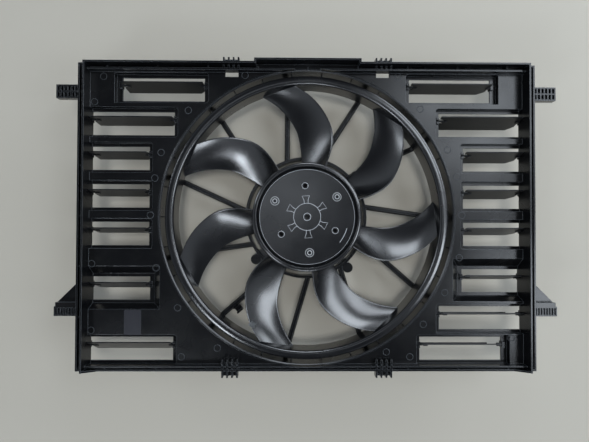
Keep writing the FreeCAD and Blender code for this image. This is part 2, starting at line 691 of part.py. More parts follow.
# ---------------------------------------------------------------- fan
def blade_section(station):
    """One closed, cambered section, flat in the plane that faces the axis."""
    share_out, lead, trail, lead_z, trail_z = station
    radius = BLADE_ROOT_R + share_out * (BLADE_TIP_R - BLADE_ROOT_R)
    middle = math.radians(lead + trail) / 2
    span = 2 * radius * math.tan(math.radians(trail - lead) / 2)
    drop = lead_z - trail_z
    chord = math.hypot(span, drop)

    def point(share, offset):
        along = span * (share - 0.5) + drop / chord * offset
        height = lead_z - drop * share + span / chord * offset
        x = radius * math.cos(middle) - along * math.sin(middle)
        y = radius * math.sin(middle) + along * math.cos(middle)
        return Vector(x, y, height)

    edge, belly = BLADE_EDGE_T / 2, BLADE_T / 2
    sag = -BLADE_CAMBER * chord
    front = Part.BezierCurve()
    front.setPoles([point(0, edge), point(0.5, 2 * (sag + belly) - edge), point(1, edge)])
    rear = Part.BezierCurve()
    rear.setPoles([point(1, -edge), point(0.5, 2 * (sag - belly) + edge), point(0, -edge)])
    nose = Part.LineSegment(point(0, -edge), point(0, edge))
    tail = Part.LineSegment(point(1, edge), point(1, -edge))
    return Part.Wire([nose.toShape(), front.toShape(), tail.toShape(), rear.toShape()])


def blade():
    """A sickle blade from the hub wall to the ring."""
    return Part.makeLoft([blade_section(s) for s in BLADE_STATIONS], True, True)


def fan_ring():
    """The band round the blade tips, rolled over into a flat front flange."""
    rear, front = FAN_RING_Z
    inner, outer = FAN_TIP_R, FAN_TIP_R + FAN_RING_T
    crest = FAN_RING_CREST_R
    flange_rear = front - FAN_RING_T
    roll = []
    for degrees in (0.0, 45.0, 90.0):
        angle = math.radians(degrees)
        roll.append((inner + crest - crest * math.cos(angle), front - crest + crest * math.sin(angle)))
    outline = [
        (inner, rear),
        (outer, rear),
        (outer, front - crest),
        (inner + crest, flange_rear),
        (FAN_RING_FLANGE_R, flange_rear),
        (FAN_RING_FLANGE_R, front),
    ]
    return revolved(outline + roll[::-1])


def hub_shell():
    """The cup of the fan, with its groove and its inner face."""
    disc_front = HUB_FRONT_Z - HUB_DISC_DROP
    disc_rear = disc_front - HUB_DISC_T
    floor = HUB_FRONT_Z - HUB_GROOVE_DEPTH
    wall_in = HUB_R - HUB_T
    edge = []
    for degrees in (0.0, 45.0, 90.0):
        angle = math.radians(degrees)
        edge.append((
            HUB_R - HUB_EDGE_R + HUB_EDGE_R * math.cos(angle),
            HUB_FRONT_Z - HUB_EDGE_R + HUB_EDGE_R * math.sin(angle),
        ))
    outline = [
        (GROOVE_OUT_R, HUB_FRONT_Z),
        (GROOVE_OUT_R, floor),
        (GROOVE_IN_R, floor),
        (GROOVE_IN_R, disc_front),
        (0, disc_front),
        (0, disc_rear),
        (GROOVE_IN_R - HUB_T, disc_rear),
        (GROOVE_IN_R - HUB_T, floor - HUB_T),
        (wall_in, floor - HUB_T),
        (wall_in, HUB_REAR_Z),
        (HUB_R, HUB_REAR_Z),
    ]
    return revolved(outline + edge)


def fan_wheel():
    """Hub, seven blades and ring, moulded as one."""
    disc_front = HUB_FRONT_Z - HUB_DISC_DROP
    bosses, holes = [], [disc(SHAFT_R + CLEAR, 0, RIM_Z)]
    for x, y in places(FAN_SCREW_PCD, FAN_SCREWS, FAN_SCREW_TURN):
        bosses.append(disc(HUB_BOSS_R, BELL_FRONT_Z, disc_front, x, y))
        holes.append(disc(MOTOR_SCREW_R + CLEAR, 0, RIM_Z, x, y))
    for x, y in places(PLAIN_HOLE_PCD, FAN_SCREWS, PLAIN_HOLE_TURN):
        holes.append(disc(PLAIN_HOLE_R, 0, RIM_Z, x, y))
    rib_in = BELL_R + 2 * CLEAR
    rib_out = HUB_R - HUB_T / 2
    half = HUB_RIB_T / 2
    rib = box(rib_in, rib_out, -half, half, HUB_REAR_Z + HUB_EDGE_R, HUB_FRONT_Z - HUB_GROOVE_DEPTH)
    blades = around(blade(), FAN_BLADES)
    wheel = joined(hub_shell(), bosses + around(rib, HUB_RIBS) + blades + [fan_ring()])
    inside = disc(HUB_R - HUB_T, 0, HUB_FRONT_Z - HUB_GROOVE_DEPTH - HUB_T)
    bell_space = disc(rib_in, 0, BELL_FRONT_Z)
    inside_blades = inside.cut(Part.makeCompound(around(rib, HUB_RIBS) + bosses))
    ring_rear, ring_front = FAN_RING_Z
    ring_out = FAN_TIP_R + FAN_RING_T
    outside = tube(FAN_RING_FLANGE_R + HUB_T, ring_out, ring_rear, ring_front - FAN_RING_CREST_R)
    return wheel.cut(Part.makeCompound(holes + [inside_blades, bell_space, outside])).removeSplitter()


def pan_screw(x, y, seat_z, length):
    """A screw with a round head that points forwards, on its seat."""
    shank = disc(MOTOR_SCREW_R, seat_z - length, seat_z, x, y)
    head = disc(SCREW_HEAD_R, seat_z, seat_z + SCREW_HEAD_H, x, y)
    return joined(shank, [head])


def hexagon_screw(x, y, seat_z, length):
    """A screw with a hexagon head that points to the rear, on its seat."""
    corners = [(x + a, y + b) for a, b in places(2 * SCREW_HEAD_R, 6, 0.0)]
    shank = disc(MOTOR_SCREW_R, seat_z, seat_z + length, x, y)
    head = prism_xy(corners, seat_z - SCREW_HEAD_H, seat_z)
    return joined(shank, [head])


def fan_screws():
    """Three screws from the hub's face into the rotor bell."""
    seat = HUB_FRONT_Z - HUB_DISC_DROP
    length = seat - BELL_FRONT_Z + BELL_T
    spots = places(FAN_SCREW_PCD, FAN_SCREWS, FAN_SCREW_TURN)
    return Part.makeCompound([pan_screw(x, y, seat, length) for x, y in spots])


def balance_clip(wheel):
    """A small steel clip pushed over the leading edge of one blade."""
    length, width, height = BALANCE_CLIP
    share_out, lead, trail, lead_z, trail_z = BLADE_STATIONS[-2]
    radius = BLADE_ROOT_R + share_out * (BLADE_TIP_R - BLADE_ROOT_R)
    run = radius * math.radians(trail - lead)
    tilt = math.degrees(math.atan2(lead_z - trail_z, run) + math.atan(4 * BLADE_CAMBER))
    turn = lead + 360.0 * BALANCE_BLADE / FAN_BLADES
    block = box(-BALANCE_LAP, length - BALANCE_LAP, -width / 2, width / 2, -height / 2, height / 2)
    block.rotate(Vector(0, 0, 0), Vector(0, 1, 0), tilt)
    block.rotate(Vector(0, 0, 0), Vector(0, 0, 1), turn + 90.0)
    x, y = on_circle(2 * radius, turn)
    block.translate(Vector(x, y, lead_z))
    return block.cut(wheel)


# ---------------------------------------------------------------- motor
def rotor_bell():
    """Deep-drawn steel cup that carries the magnets and the fan."""
    inner = BELL_R - BELL_T
    rear = BELL_FRONT_Z - BELL_T
    outline = [
        (SHAFT_R, rear),
        (inner, rear),
        (inner, BELL_REAR_Z),
        (BELL_R, BELL_REAR_Z),
        (BELL_R, BELL_FRONT_Z),
        (SHAFT_R, BELL_FRONT_Z),
    ]
    spots = places(FAN_SCREW_PCD, FAN_SCREWS, FAN_SCREW_TURN)
    holes = [disc(MOTOR_SCREW_R + SCREW_FIT, 0, RIM_Z, x, y) for x, y in spots]
    return revolved(outline).cut(Part.makeCompound(holes))


def rotor_magnets():
    """Flat bar magnets glued inside the bell."""
    z0 = BELL_REAR_Z + BELL_T
    bar = box(MAGNET_BACK - MAGNET_T, MAGNET_BACK, -MAGNET_HALF, MAGNET_HALF, z0, z0 + MAGNET_LENGTH)
    return Part.makeCompound(around(bar, MAGNETS))


def stator_z():
    """Rear and front faces of the stator stack."""
    middle = BELL_REAR_Z + BELL_T + MAGNET_LENGTH / 2
    return middle - STATOR_LENGTH / 2, middle + STATOR_LENGTH / 2


def stator_core():
    """Laminated stack: a yoke and T-shaped teeth."""
    z0, z1 = stator_z()
    yoke = tube(STATOR_YOKE_R, STATOR_BORE, z0, z1)
    tooth = box(STATOR_YOKE_R - TOOTH_TIP_T, STATOR_FACE, -TOOTH_W / 2, TOOTH_W / 2, z0, z1)
    tip = box(STATOR_FACE - TOOTH_TIP_T, STATOR_FACE, -TOOTH_TIP_HALF, TOOTH_TIP_HALF, z0, z1)
    return joined(yoke, around(tooth.fuse(tip), STATOR_TEETH))


def stator_windings():
    """One coil round each tooth."""
    z0, z1 = stator_z()
    inner_w = TOOTH_W / 2
    outer_w = inner_w + COIL_T
    root, tip = STATOR_YOKE_R + COIL_T, STATOR_FACE - TOOTH_TIP_T - CLEAR
    coil = box(root, tip, -outer_w, outer_w, z0 - COIL_T, z1 + COIL_T)
    coil = coil.cut(box(root, tip, -inner_w, inner_w, z0, z1))
    return Part.makeCompound(around(coil, STATOR_TEETH))


def bearing(z0):
    """A sealed ball bearing, drawn as one ring."""
    return tube(BEARING_R, SHAFT_R + SHAFT_BORE_FIT, z0, z0 + BEARING_W)


def bearing_seats():
    """Rear faces of the rear and front bearings."""
    z0, z1 = stator_z()
    return BASE_Z[1], z1 - BEARING_W


def motor_base():
    """Die-cast base: flange, lugs, rear cooling fins and the stator's tube."""
    rear, front = BASE_Z
    plate = disc(BASE_R, rear, front)
    z0, z1 = stator_z()
    post = disc(STATOR_BORE, front, z1)
    shoulder = disc(STATOR_BORE + COIL_T, front, z0)
    arm = box(BASE_R - LUG_R, LUG_PCD / 2, -LUG_R, LUG_R, rear, front)
    lugs = [disc(LUG_R, rear, front, x, y) for x, y in places(LUG_PCD, LUGS, LUG_TURN)]
    lugs += around(arm, LUGS, LUG_TURN)
    fin = box(COVER_R + CLEAR, BASE_R - FIN_T, -FIN_T / 2, FIN_T / 2, FIN_Z, rear)
    base = joined(plate, [post, shoulder] + lugs + around(fin, FINS, 180.0 / FINS))
    shaft_room = disc(SHAFT_R + SHAFT_ROOM, rear + COVER_T, z1)
    seats = [disc(BEARING_R, z, z + BEARING_W) for z in bearing_seats()]
    half = SOCKET_W / 2 + CLEAR
    socket_room = turned(box(COVER_R, BASE_R + CLEAR, -half, half, 0, rear), SOCKET_TURN)
    holes = lug_holes(MOTOR_SCREW_R + CLEAR, rear, front)
    return base.cut(Part.makeCompound([shaft_room, socket_room] + seats + holes)).removeSplitter()


def motor_shaft():
    """Shaft pressed in the bell, running in both bearings."""
    return disc(SHAFT_R, BASE_Z[1] + SHAFT_ROOM, BELL_FRONT_Z)


def electronics_cover():
    """Flat rear cover over the controller."""
    inner = COVER_R - COVER_T
    return disc(COVER_R, 0, BASE_Z[0]).cut(disc(inner, COVER_T, BASE_Z[0]))


def circuit_board():
    """Controller board with its capacitors, on the cold face of the base."""
    top = BASE_Z[0]
    half = BOARD_SIDE / 2
    board = box(-half, half, -half, half, top - BOARD_T, top)
    side = CAPACITOR_W / 2
    parts = []
    for k in range(CAPACITORS):
        x = half * (2 * k / (CAPACITORS - 1) - 1) / 2
        parts.append(box(x - side, x + side, side, 3 * side, top - CAPACITOR_LENGTH, top - BOARD_T))
    return joined(board, parts)


def motor_socket():
    """Plug socket on the rim of the base, open outwards."""
    z1 = BASE_Z[0]
    half = SOCKET_W / 2
    start, stop = COVER_R + CLEAR, COVER_R + CLEAR + SOCKET_T + SOCKET_LENGTH
    shell = box(start, stop, -half, half, z1 - SOCKET_H, z1)
    wall = SOCKET_T
    hollow = box(start + wall, stop, -half + wall, half - wall, z1 - SOCKET_H + wall, z1 - wall)
    return turned(shell.cut(hollow), SOCKET_TURN)


def socket_pins():
    """Two power blades and two signal pins in the socket."""
    z_mid = BASE_Z[0] - SOCKET_H / 2
    start = COVER_R + CLEAR + SOCKET_T
    stop = start + PIN_LENGTH
    half = PIN_T / 2
    parts = []
    for out, width in (POWER_PIN, SIGNAL_PIN):
        for y in (-out, out):
            parts.append(box(start, stop, y - width / 2, y + width / 2, z_mid - half, z_mid + half))
    return turned(Part.makeCompound(parts), SOCKET_TURN)


def motor_screws():
    """Four screws from behind through the lugs into the carrier ring."""
    rear, front = BASE_Z
    length = front - rear + MOTOR_SCREW_REACH
    spots = places(LUG_PCD, LUGS, LUG_TURN)
    return Part.makeCompound([hexagon_screw(x, y, rear, length) for x, y in spots])


# ---------------------------------------------------------------- build
def build():
    """Every node by name."""
    rear_seat, front_seat = bearing_seats()
    wheel = fan_wheel()
    nodes = {
        "shroud_moulding": shroud_moulding(),
        "motor_base": motor_base(),
        "electronics_cover": electronics_cover(),
        "circuit_board": circuit_board(),
        "motor_socket": motor_socket(),
        "socket_pins": socket_pins(),
        "motor_screws": motor_screws(),
        "stator_core": stator_core(),
        "stator_windings": stator_windings(),
        "bearing_rear": bearing(rear_seat),
        "bearing_front": bearing(front_seat),
        "motor_shaft": motor_shaft(),
        "rotor_bell": rotor_bell(),
        "rotor_magnets": rotor_magnets(),
        "fan_wheel": wheel,
        "fan_screws": fan_screws(),
        "balance_clip": balance_clip(wheel),
    }
    for entry in WINDOWS:
        nodes["flap_" + entry[0]] = flap(window_frame(entry))
    return nodes


os.makedirs("parts", exist_ok=True)
for node, shape in build().items():
    shape.exportStep("parts/" + node + ".step")
    state = "valid" if shape.isValid() else "NOT VALID"
    print(node, len(shape.Solids), "solid(s)", state, round(shape.Volume / 1000, 1), "cm3")
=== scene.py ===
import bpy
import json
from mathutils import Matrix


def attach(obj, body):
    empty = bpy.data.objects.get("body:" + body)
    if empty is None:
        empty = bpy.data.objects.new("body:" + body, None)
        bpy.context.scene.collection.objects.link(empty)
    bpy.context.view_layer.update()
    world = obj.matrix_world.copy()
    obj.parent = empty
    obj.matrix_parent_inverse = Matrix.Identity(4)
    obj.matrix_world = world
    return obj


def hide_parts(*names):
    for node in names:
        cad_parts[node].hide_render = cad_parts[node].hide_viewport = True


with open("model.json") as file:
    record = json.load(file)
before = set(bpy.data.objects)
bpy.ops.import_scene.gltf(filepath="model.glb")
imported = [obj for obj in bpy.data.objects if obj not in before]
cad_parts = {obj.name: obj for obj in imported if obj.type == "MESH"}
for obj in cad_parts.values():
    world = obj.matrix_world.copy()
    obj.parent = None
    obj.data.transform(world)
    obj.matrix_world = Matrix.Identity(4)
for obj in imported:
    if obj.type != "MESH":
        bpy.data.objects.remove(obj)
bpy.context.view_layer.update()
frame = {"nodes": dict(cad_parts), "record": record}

import json
import math

import bmesh
import bpy
import numpy as np
from mathutils import Matrix, Vector

bl_info = {
    "name": "Radiator Fan Shroud",
    "version": (1, 0, 0),
    "blender": (4, 5, 0),
    "location": "View3D > Sidebar > Fan Shroud",
    "description": "Dresses a radiator fan shroud with its fan, flaps and motor",
    "category": "Object",
}

MM = 0.001

# Sizes are in millimetres unless a line says otherwise: radii from the fan's
# axis, heights from the frame's origin. Angles are in degrees.

# Blade sections: radius, angle of the leading edge and of the trailing edge,
# height of the leading edge and of the trailing edge.
BLADE_STATIONS = (
    (76.0, 70.0, 94.2, 86.2, 49.8),
    (104.0, 70.4, 94.4, 85.0, 51.0),
    (130.0, 73.6, 96.0, 83.0, 53.0),
    (156.0, 80.5, 100.4, 80.0, 55.0),
    (180.0, 88.3, 105.6, 77.5, 55.5),
    (199.6, 96.0, 110.5, 76.0, 55.0),
)
BLADE_SECTIONS = 44         # sections in a blade's skin
BLADE_ROOT_OUT = 3.5        # from the first station to the first section, in the hub's skirt
SECTION_STEPS = 28          # steps along each side of a section
NOSE_STEPS = 5              # steps round each edge of a section

# hub
HUB_R = 81.5
HUB_REAR_Z = 42.0
SKIRT_INNER_R = 78.9
DISC_Z = 89.8               # front of the hub's disc
DISC_REAR_Z = 86.6
DISC_EDGE_ROUND = 0.6
RIM_FRONT_Z = 91.0
RIM_REAR_Z = 82.4           # rear of the groove and the rim
RIM_ROUND = 5.0             # rounding of the rim's outer edge
RIM_INNER_ROUND = 0.9
GROOVE_R = (70.5, 72.8, 75.0)   # inner wall, bottom of the V and outer wall
GROOVE_Z = (85.0, 83.3)     # where the V begins, and its bottom
GROOVE_BACK_R = 67.9        # where the disc's rear steps down behind the groove
BORE_R = 3.4
BORE_CONE_Z = (86.4, 82.6)  # where the bore's cone floor begins, and its tip
BOSS_R = 5.0
BOSS_REAR_Z = 82.0
SCREW_CIRCLE = (53.0, 34.0)     # radius, angle of the first of three
PLAIN_CIRCLE = (46.0, 94.0)
SCREW_HOLE_R = 2.8
PLAIN_HOLE_R = 3.2
HOLE_CUT = (88.0, 12.0)     # middle and length of the cutters for the holes
BORE_COLLAR_R = 6.2
HOLE_COLLAR_R = 5.0
COLLAR_Z = (89.0, 90.6)     # rear and front of the collars round the bore and the plain holes
COLLAR_BEVEL = 0.5
COLLAR_BORE_BEVEL = 0.4     # how deep the bevel at a collar's hole goes
FACE_LINE_Z = 89.7          # middle of the lines, which are about half sunk in the disc
COLLAR_LINE_Z = 90.5
LINE_R = 0.5                # radius of a full line's round section
INSERT_R = 20.0             # round outline of the insert
INSERT_TABS = 6
TAB_SIDE = ((20.0, 8.0), (25.0, 7.0), (31.5, 10.0))     # radius, angle from a tab's middle
DASH_R = 61.0               # a plain dash near the disc's edge
# radius of a painted highlight along the disc's edge
DISC_EDGE_HIGHLIGHT_R = 70.1
CENTRE_LINE_R = 5.4
HOLE_HIGHLIGHT_R = 4.6                 # painted highlight ring on a plain hole's collar
HOLE_HIGHLIGHT_LINE = 0.3
SCREW_RING_Z = 89.9
SCREW_RING_LINE = 0.5

# ring
RING_INNER_R = 199.0
RING_OUTER_R = 201.4
RING_REAR_Z = 50.0
CREST_AT = (204.0, 79.0)    # radius and height of the centre of the rolled front edge
CREST_ROUND = (2.6, 5.0)    # inside and outside of the roll
FLANGE_R = 211.5
FLANGE_CHAMFER = 0.2
FLANGE_Z = (80.2, 80.5, 81.6)
FLANGE_EDGE_ARC = (209.6, 80.9, 1.9)    # centre's radius, centre's height, rounding
FLANGE_SLOPE_ARC = (204.8, 70.8, 13.2)

# fan screws
SHANK_R = 2.4
SHANK_END_Z = 77.2
HEAD_R = 5.0
HEAD_FRONT_Z = 92.3
HEAD_ROUND = 1.4
SCREW_RECESS = ((2.9, 92.3), (2.5, 91.9), (2.3, 90.6), (0.0, 88.2))     # radius, height
SCREW_RIM = ((2.5, 91.6), (3.7, 91.6), (3.7, 92.35), (3.4, 92.6), (2.9, 92.6), (2.5, 92.2))

# panel
PANEL_Z = 85.0              # front of the panel
MARK_SPOTS = (
    (-303, 208), (-316, 170), (-177, 158), (-217, 95), (-226, 57), (-232, 2), (-318, -70), (-223, -76),
    (-191, -135), (-318, -168), (-132, -194), (-185, -207), (-93, 211), (136, 211), (169, 162), (210, 101),
    (224, 61), (231, 3), (227, -60), (205, -112), (173, -159), (118, -200), (153, -207), (304, -179),
)
MARK_RISE = 0.12            # height of the line round an ejector mark
PAD_X = (-269.4, -244.5)
PAD_Y = (-174.8, -138.1)
PAD_CORNER_R = 2.0
PAD_Z = (84.9, 85.3)

# bottom clips
CLIP_X = 112.5              # both sides of the middle
CLIP_Y = (-215.5, -208.5)
CLIP_FLOOR_Z = (82.6, 83.2)
CLIP_FRONT_Z = 95.0
CLIP_W = 24.0
CLIP_FLOOR_W = 19.2
CLIP_RIBS = 4
CLIP_RIB_T = 2.4

# stage: lengths in metres, power in watts
FLOOR_REACH = 3.0
PLAIN_WHITE = (1.0, 1.0, 0.99)
COOL_WHITE = (0.85, 0.92, 1.0)
HIDDEN_IN_REFLECTIONS = "fill"
# name, azimuth and angle from the zenith, distance, width, height, power, colour
LAMPS = (
    ("fill", 0, 0, 3.0, 0.8, 0.8, 40, PLAIN_WHITE),
    ("key", 33, 34, 3.0, 1.1, 1.1, 17, COOL_WHITE),
    ("ceiling", 125, 8, 3.0, 0.9, 0.9, 1.9, COOL_WHITE),
    ("window_right", 36, 67, 1.9, 1.5, 0.6, 14, COOL_WHITE),
    ("window_top", 84, 66, 1.9, 0.7, 0.6, 7, COOL_WHITE),
    ("side_right", -16, 44, 1.9, 0.5, 0.8, 7.5, COOL_WHITE),
    ("low_left", -128, 47, 1.9, 0.4, 0.45, 6.5, COOL_WHITE),
    ("low", -90, 75, 1.9, 0.5, 0.4, 5, COOL_WHITE),
    ("side_left", 156, 72, 1.9, 0.4, 0.7, 4, COOL_WHITE),
)
SKY_COLOUR = (0.82, 0.9, 1.0, 1.0)
SKY_RISE = (0.2, 0.75)      # sine of the height above the horizon, where the fade begins and ends
SKY_STRENGTH = (0.43, 0.05)
SENSOR_MM = 36.0
FOCAL_SHARE = 0.721562      # focal length over the sensor's width
CAMERA_PLACE = (-0.02524, -0.01589, 0.71622)
CAMERA_TURN = (("Z", -0.178), ("Y", 0.603), ("X", -0.888))


# ---------------------------------------------------------------- colour
def linear(code):
    """An sRGB hex value as linear red, green and blue."""
    values = [int(code[i:i + 2], 16) / 255 for i in (1, 3, 5)]
    return [v / 12.92 if v <= 0.04045 else ((v + 0.055) / 1.055) ** 2.4 for v in values]


# ---------------------------------------------------------------- settings
class ShroudColours(bpy.types.PropertyGroup):
    moulding: bpy.props.FloatVectorProperty(
        name="Moulding", description="Colour of the shroud's plastic",
        subtype="COLOR", default=linear("#0b0c0e"))
    fan: bpy.props.FloatVectorProperty(
        name="Fan", description="Colour of the fan's plastic",
        subtype="COLOR", default=linear("#0d0e11"))
    floor: bpy.props.FloatVectorProperty(
        name="Floor", description="Colour of the floor",
        subtype="COLOR", default=linear("#aba89f"))


class ShroudSizes(bpy.types.PropertyGroup):
    blade_count: bpy.props.IntProperty(
        name="Blades", description="Number of fan blades", default=7, min=3, max=13)
    blade_thickness: bpy.props.FloatProperty(
        name="Blade thickness", description="Greatest thickness of a blade",
        default=0.0032, unit="LENGTH")
    edge_thickness: bpy.props.FloatProperty(
        name="Blade edge", description="Thickness of a blade at its edges",
        default=0.0016, unit="LENGTH")
    camber: bpy.props.FloatProperty(
        name="Camber", description="Height of a blade's camber over its chord",
        default=0.09, min=0.0, max=0.2)
    mark_radius: bpy.props.FloatProperty(
        name="Ejector mark", description="Radius of the round ejector marks",
        default=0.0048, unit="LENGTH")
    mark_line: bpy.props.FloatProperty(
        name="Mark line", description="Width of the line round an ejector mark",
        default=0.0005, unit="LENGTH")
    screw_ring: bpy.props.FloatProperty(
        name="Screw ring", description="Outer radius of the steel ring under a fan screw",
        default=0.0066, unit="LENGTH")


# ---------------------------------------------------------------- node trees
def add(tree, kind, settings=None, links=None):
    """Adds one node, sets its values and links its inputs."""
    node = tree.nodes.new(kind)
    for key, value in (settings or {}).items():
        if isinstance(key, str) and hasattr(node, key):
            setattr(node, key, value)
        else:
            node.inputs[key].default_value = value
    for key, source in (links or {}).items():
        tree.links.new(source, node.inputs[key])
    return node


def material(name, shader, build=None):
    """A material with one Principled shader; build adds its patterns."""
    made = bpy.data.materials.new(name)
    made.use_nodes = True
    tree = made.node_tree
    tree.nodes.clear()
    principled = add(tree, "ShaderNodeBsdfPrincipled", shader)
    output = add(tree, "ShaderNodeOutputMaterial")
    tree.links.new(principled.outputs[0], output.inputs["Surface"])
    if build:
        place = add(tree, "ShaderNodeTexCoord").outputs["Object"]
        build(tree, principled, place)
    return made


def rgba(colour, factor=1.0):
    return [min(1.0, channel * factor) for channel in colour[:3]] + [1.0]


DRIFT_MM = 62.5             # size of the patches in which a moulding's gloss drifts
FILM_MM = 26.316            # size of the patches of dust
CLOUD_MM = 8.3333           # size of the patches in a metal's gloss


def moulded_pattern(colour, grain_mm, gloss, edge_mm, dust, edge_highlight=0.8):
    """Grain of the mould, drifting gloss, a film of dust, and edges that are softened and painted pale as a
    highlight.

    A real tool's grain is too fine to show, so it is drawn as coarse as it needs to be.
    """
    def build(tree, principled, place):
        grain = add(tree, "ShaderNodeTexNoise", {"Scale": 1000 / grain_mm, "Detail": 2.0}, {"Vector": place})
        drift = add(tree, "ShaderNodeTexNoise", {"Scale": 1000 / DRIFT_MM, "Detail": 2.0, "Roughness": 0.5},
                    {"Vector": place})
        film = add(tree, "ShaderNodeTexNoise", {"Scale": 1000 / FILM_MM, "Detail": 6.0, "Roughness": 0.7},
                   {"Vector": place})
        rough = add(tree, "ShaderNodeMapRange",
                    {"From Min": 0.3, "From Max": 0.7, "To Min": gloss[0], "To Max": gloss[1]},
                    {"Value": drift.outputs[0]})
        tree.links.new(rough.outputs[0], principled.inputs["Roughness"])
        shade = add(tree, "ShaderNodeMapRange", {
            "From Min": 0.45, "From Max": 0.8, "To Min": 0.0, "To Max": dust}, {"Value": film.outputs[0]})
        mix = add(tree, "ShaderNodeMix", {"data_type": "RGBA", 6: rgba(colour), 7: rgba(linear("#6d6c68"))},
                  {0: shade.outputs[0]})
        soft = add(tree, "ShaderNodeBevel", {"samples": 6, "Radius": edge_mm * MM})
        flat = add(tree, "ShaderNodeNewGeometry")
        turned = add(tree, "ShaderNodeVectorMath", {"operation": "DOT_PRODUCT"},
                     {0: soft.outputs[0], 1: flat.outputs["Normal"]})
        # mask of the edges, where a pale grey is mixed in as a painted highlight
        edge = add(tree, "ShaderNodeMapRange",
                   {"From Min": 0.99, "From Max": 0.85, "To Min": 0.0, "To Max": edge_highlight},
                   {"Value": turned.outputs["Value"]})
        # pale grey on the edges: painted highlight
        edge_highlighted = add(tree, "ShaderNodeMix", {"data_type": "RGBA", 7: rgba(linear("#5a5f65"))},
                     {0: edge.outputs[0], 6: mix.outputs[2]})
        tree.links.new(edge_highlighted.outputs[2], principled.inputs["Base Color"])
        bump = add(tree, "ShaderNodeBump", {"Strength": 0.12, "Distance": 0.0002},
                   {"Height": grain.outputs[0], "Normal": soft.outputs[0]})
        tree.links.new(bump.outputs[0], principled.inputs["Normal"])
    return build


def metal_pattern(colour, cell_mm, gloss, shift):
    """Small spangle in the colour and uneven gloss."""
    def build(tree, principled, place):
        spangle = add(tree, "ShaderNodeTexVoronoi", {"Scale": 1000 / cell_mm}, {"Vector": place})
        cloud = add(tree, "ShaderNodeTexNoise", {"Scale": 1000 / CLOUD_MM, "Detail": 5.0}, {"Vector": place})
        tone = add(tree, "ShaderNodeMix",
                   {"data_type": "RGBA", 6: rgba(colour, 1 - shift), 7: rgba(colour, 1 + shift)},
                   {0: spangle.outputs["Color"]})
        tree.links.new(tone.outputs[2], principled.inputs["Base Color"])
        rough = add(tree, "ShaderNodeMapRange",
                    {"From Min": 0.3, "From Max": 0.7, "To Min": gloss[0], "To Max": gloss[1]},
                    {"Value": cloud.outputs[0]})
        tree.links.new(rough.outputs[0], principled.inputs["Roughness"])
        bump = add(tree, "ShaderNodeBump", {"Strength": 0.1, "Distance": 0.0001},
                   {"Height": cloud.outputs[0]})
        tree.links.new(bump.outputs[0], principled.inputs["Normal"])
    return build


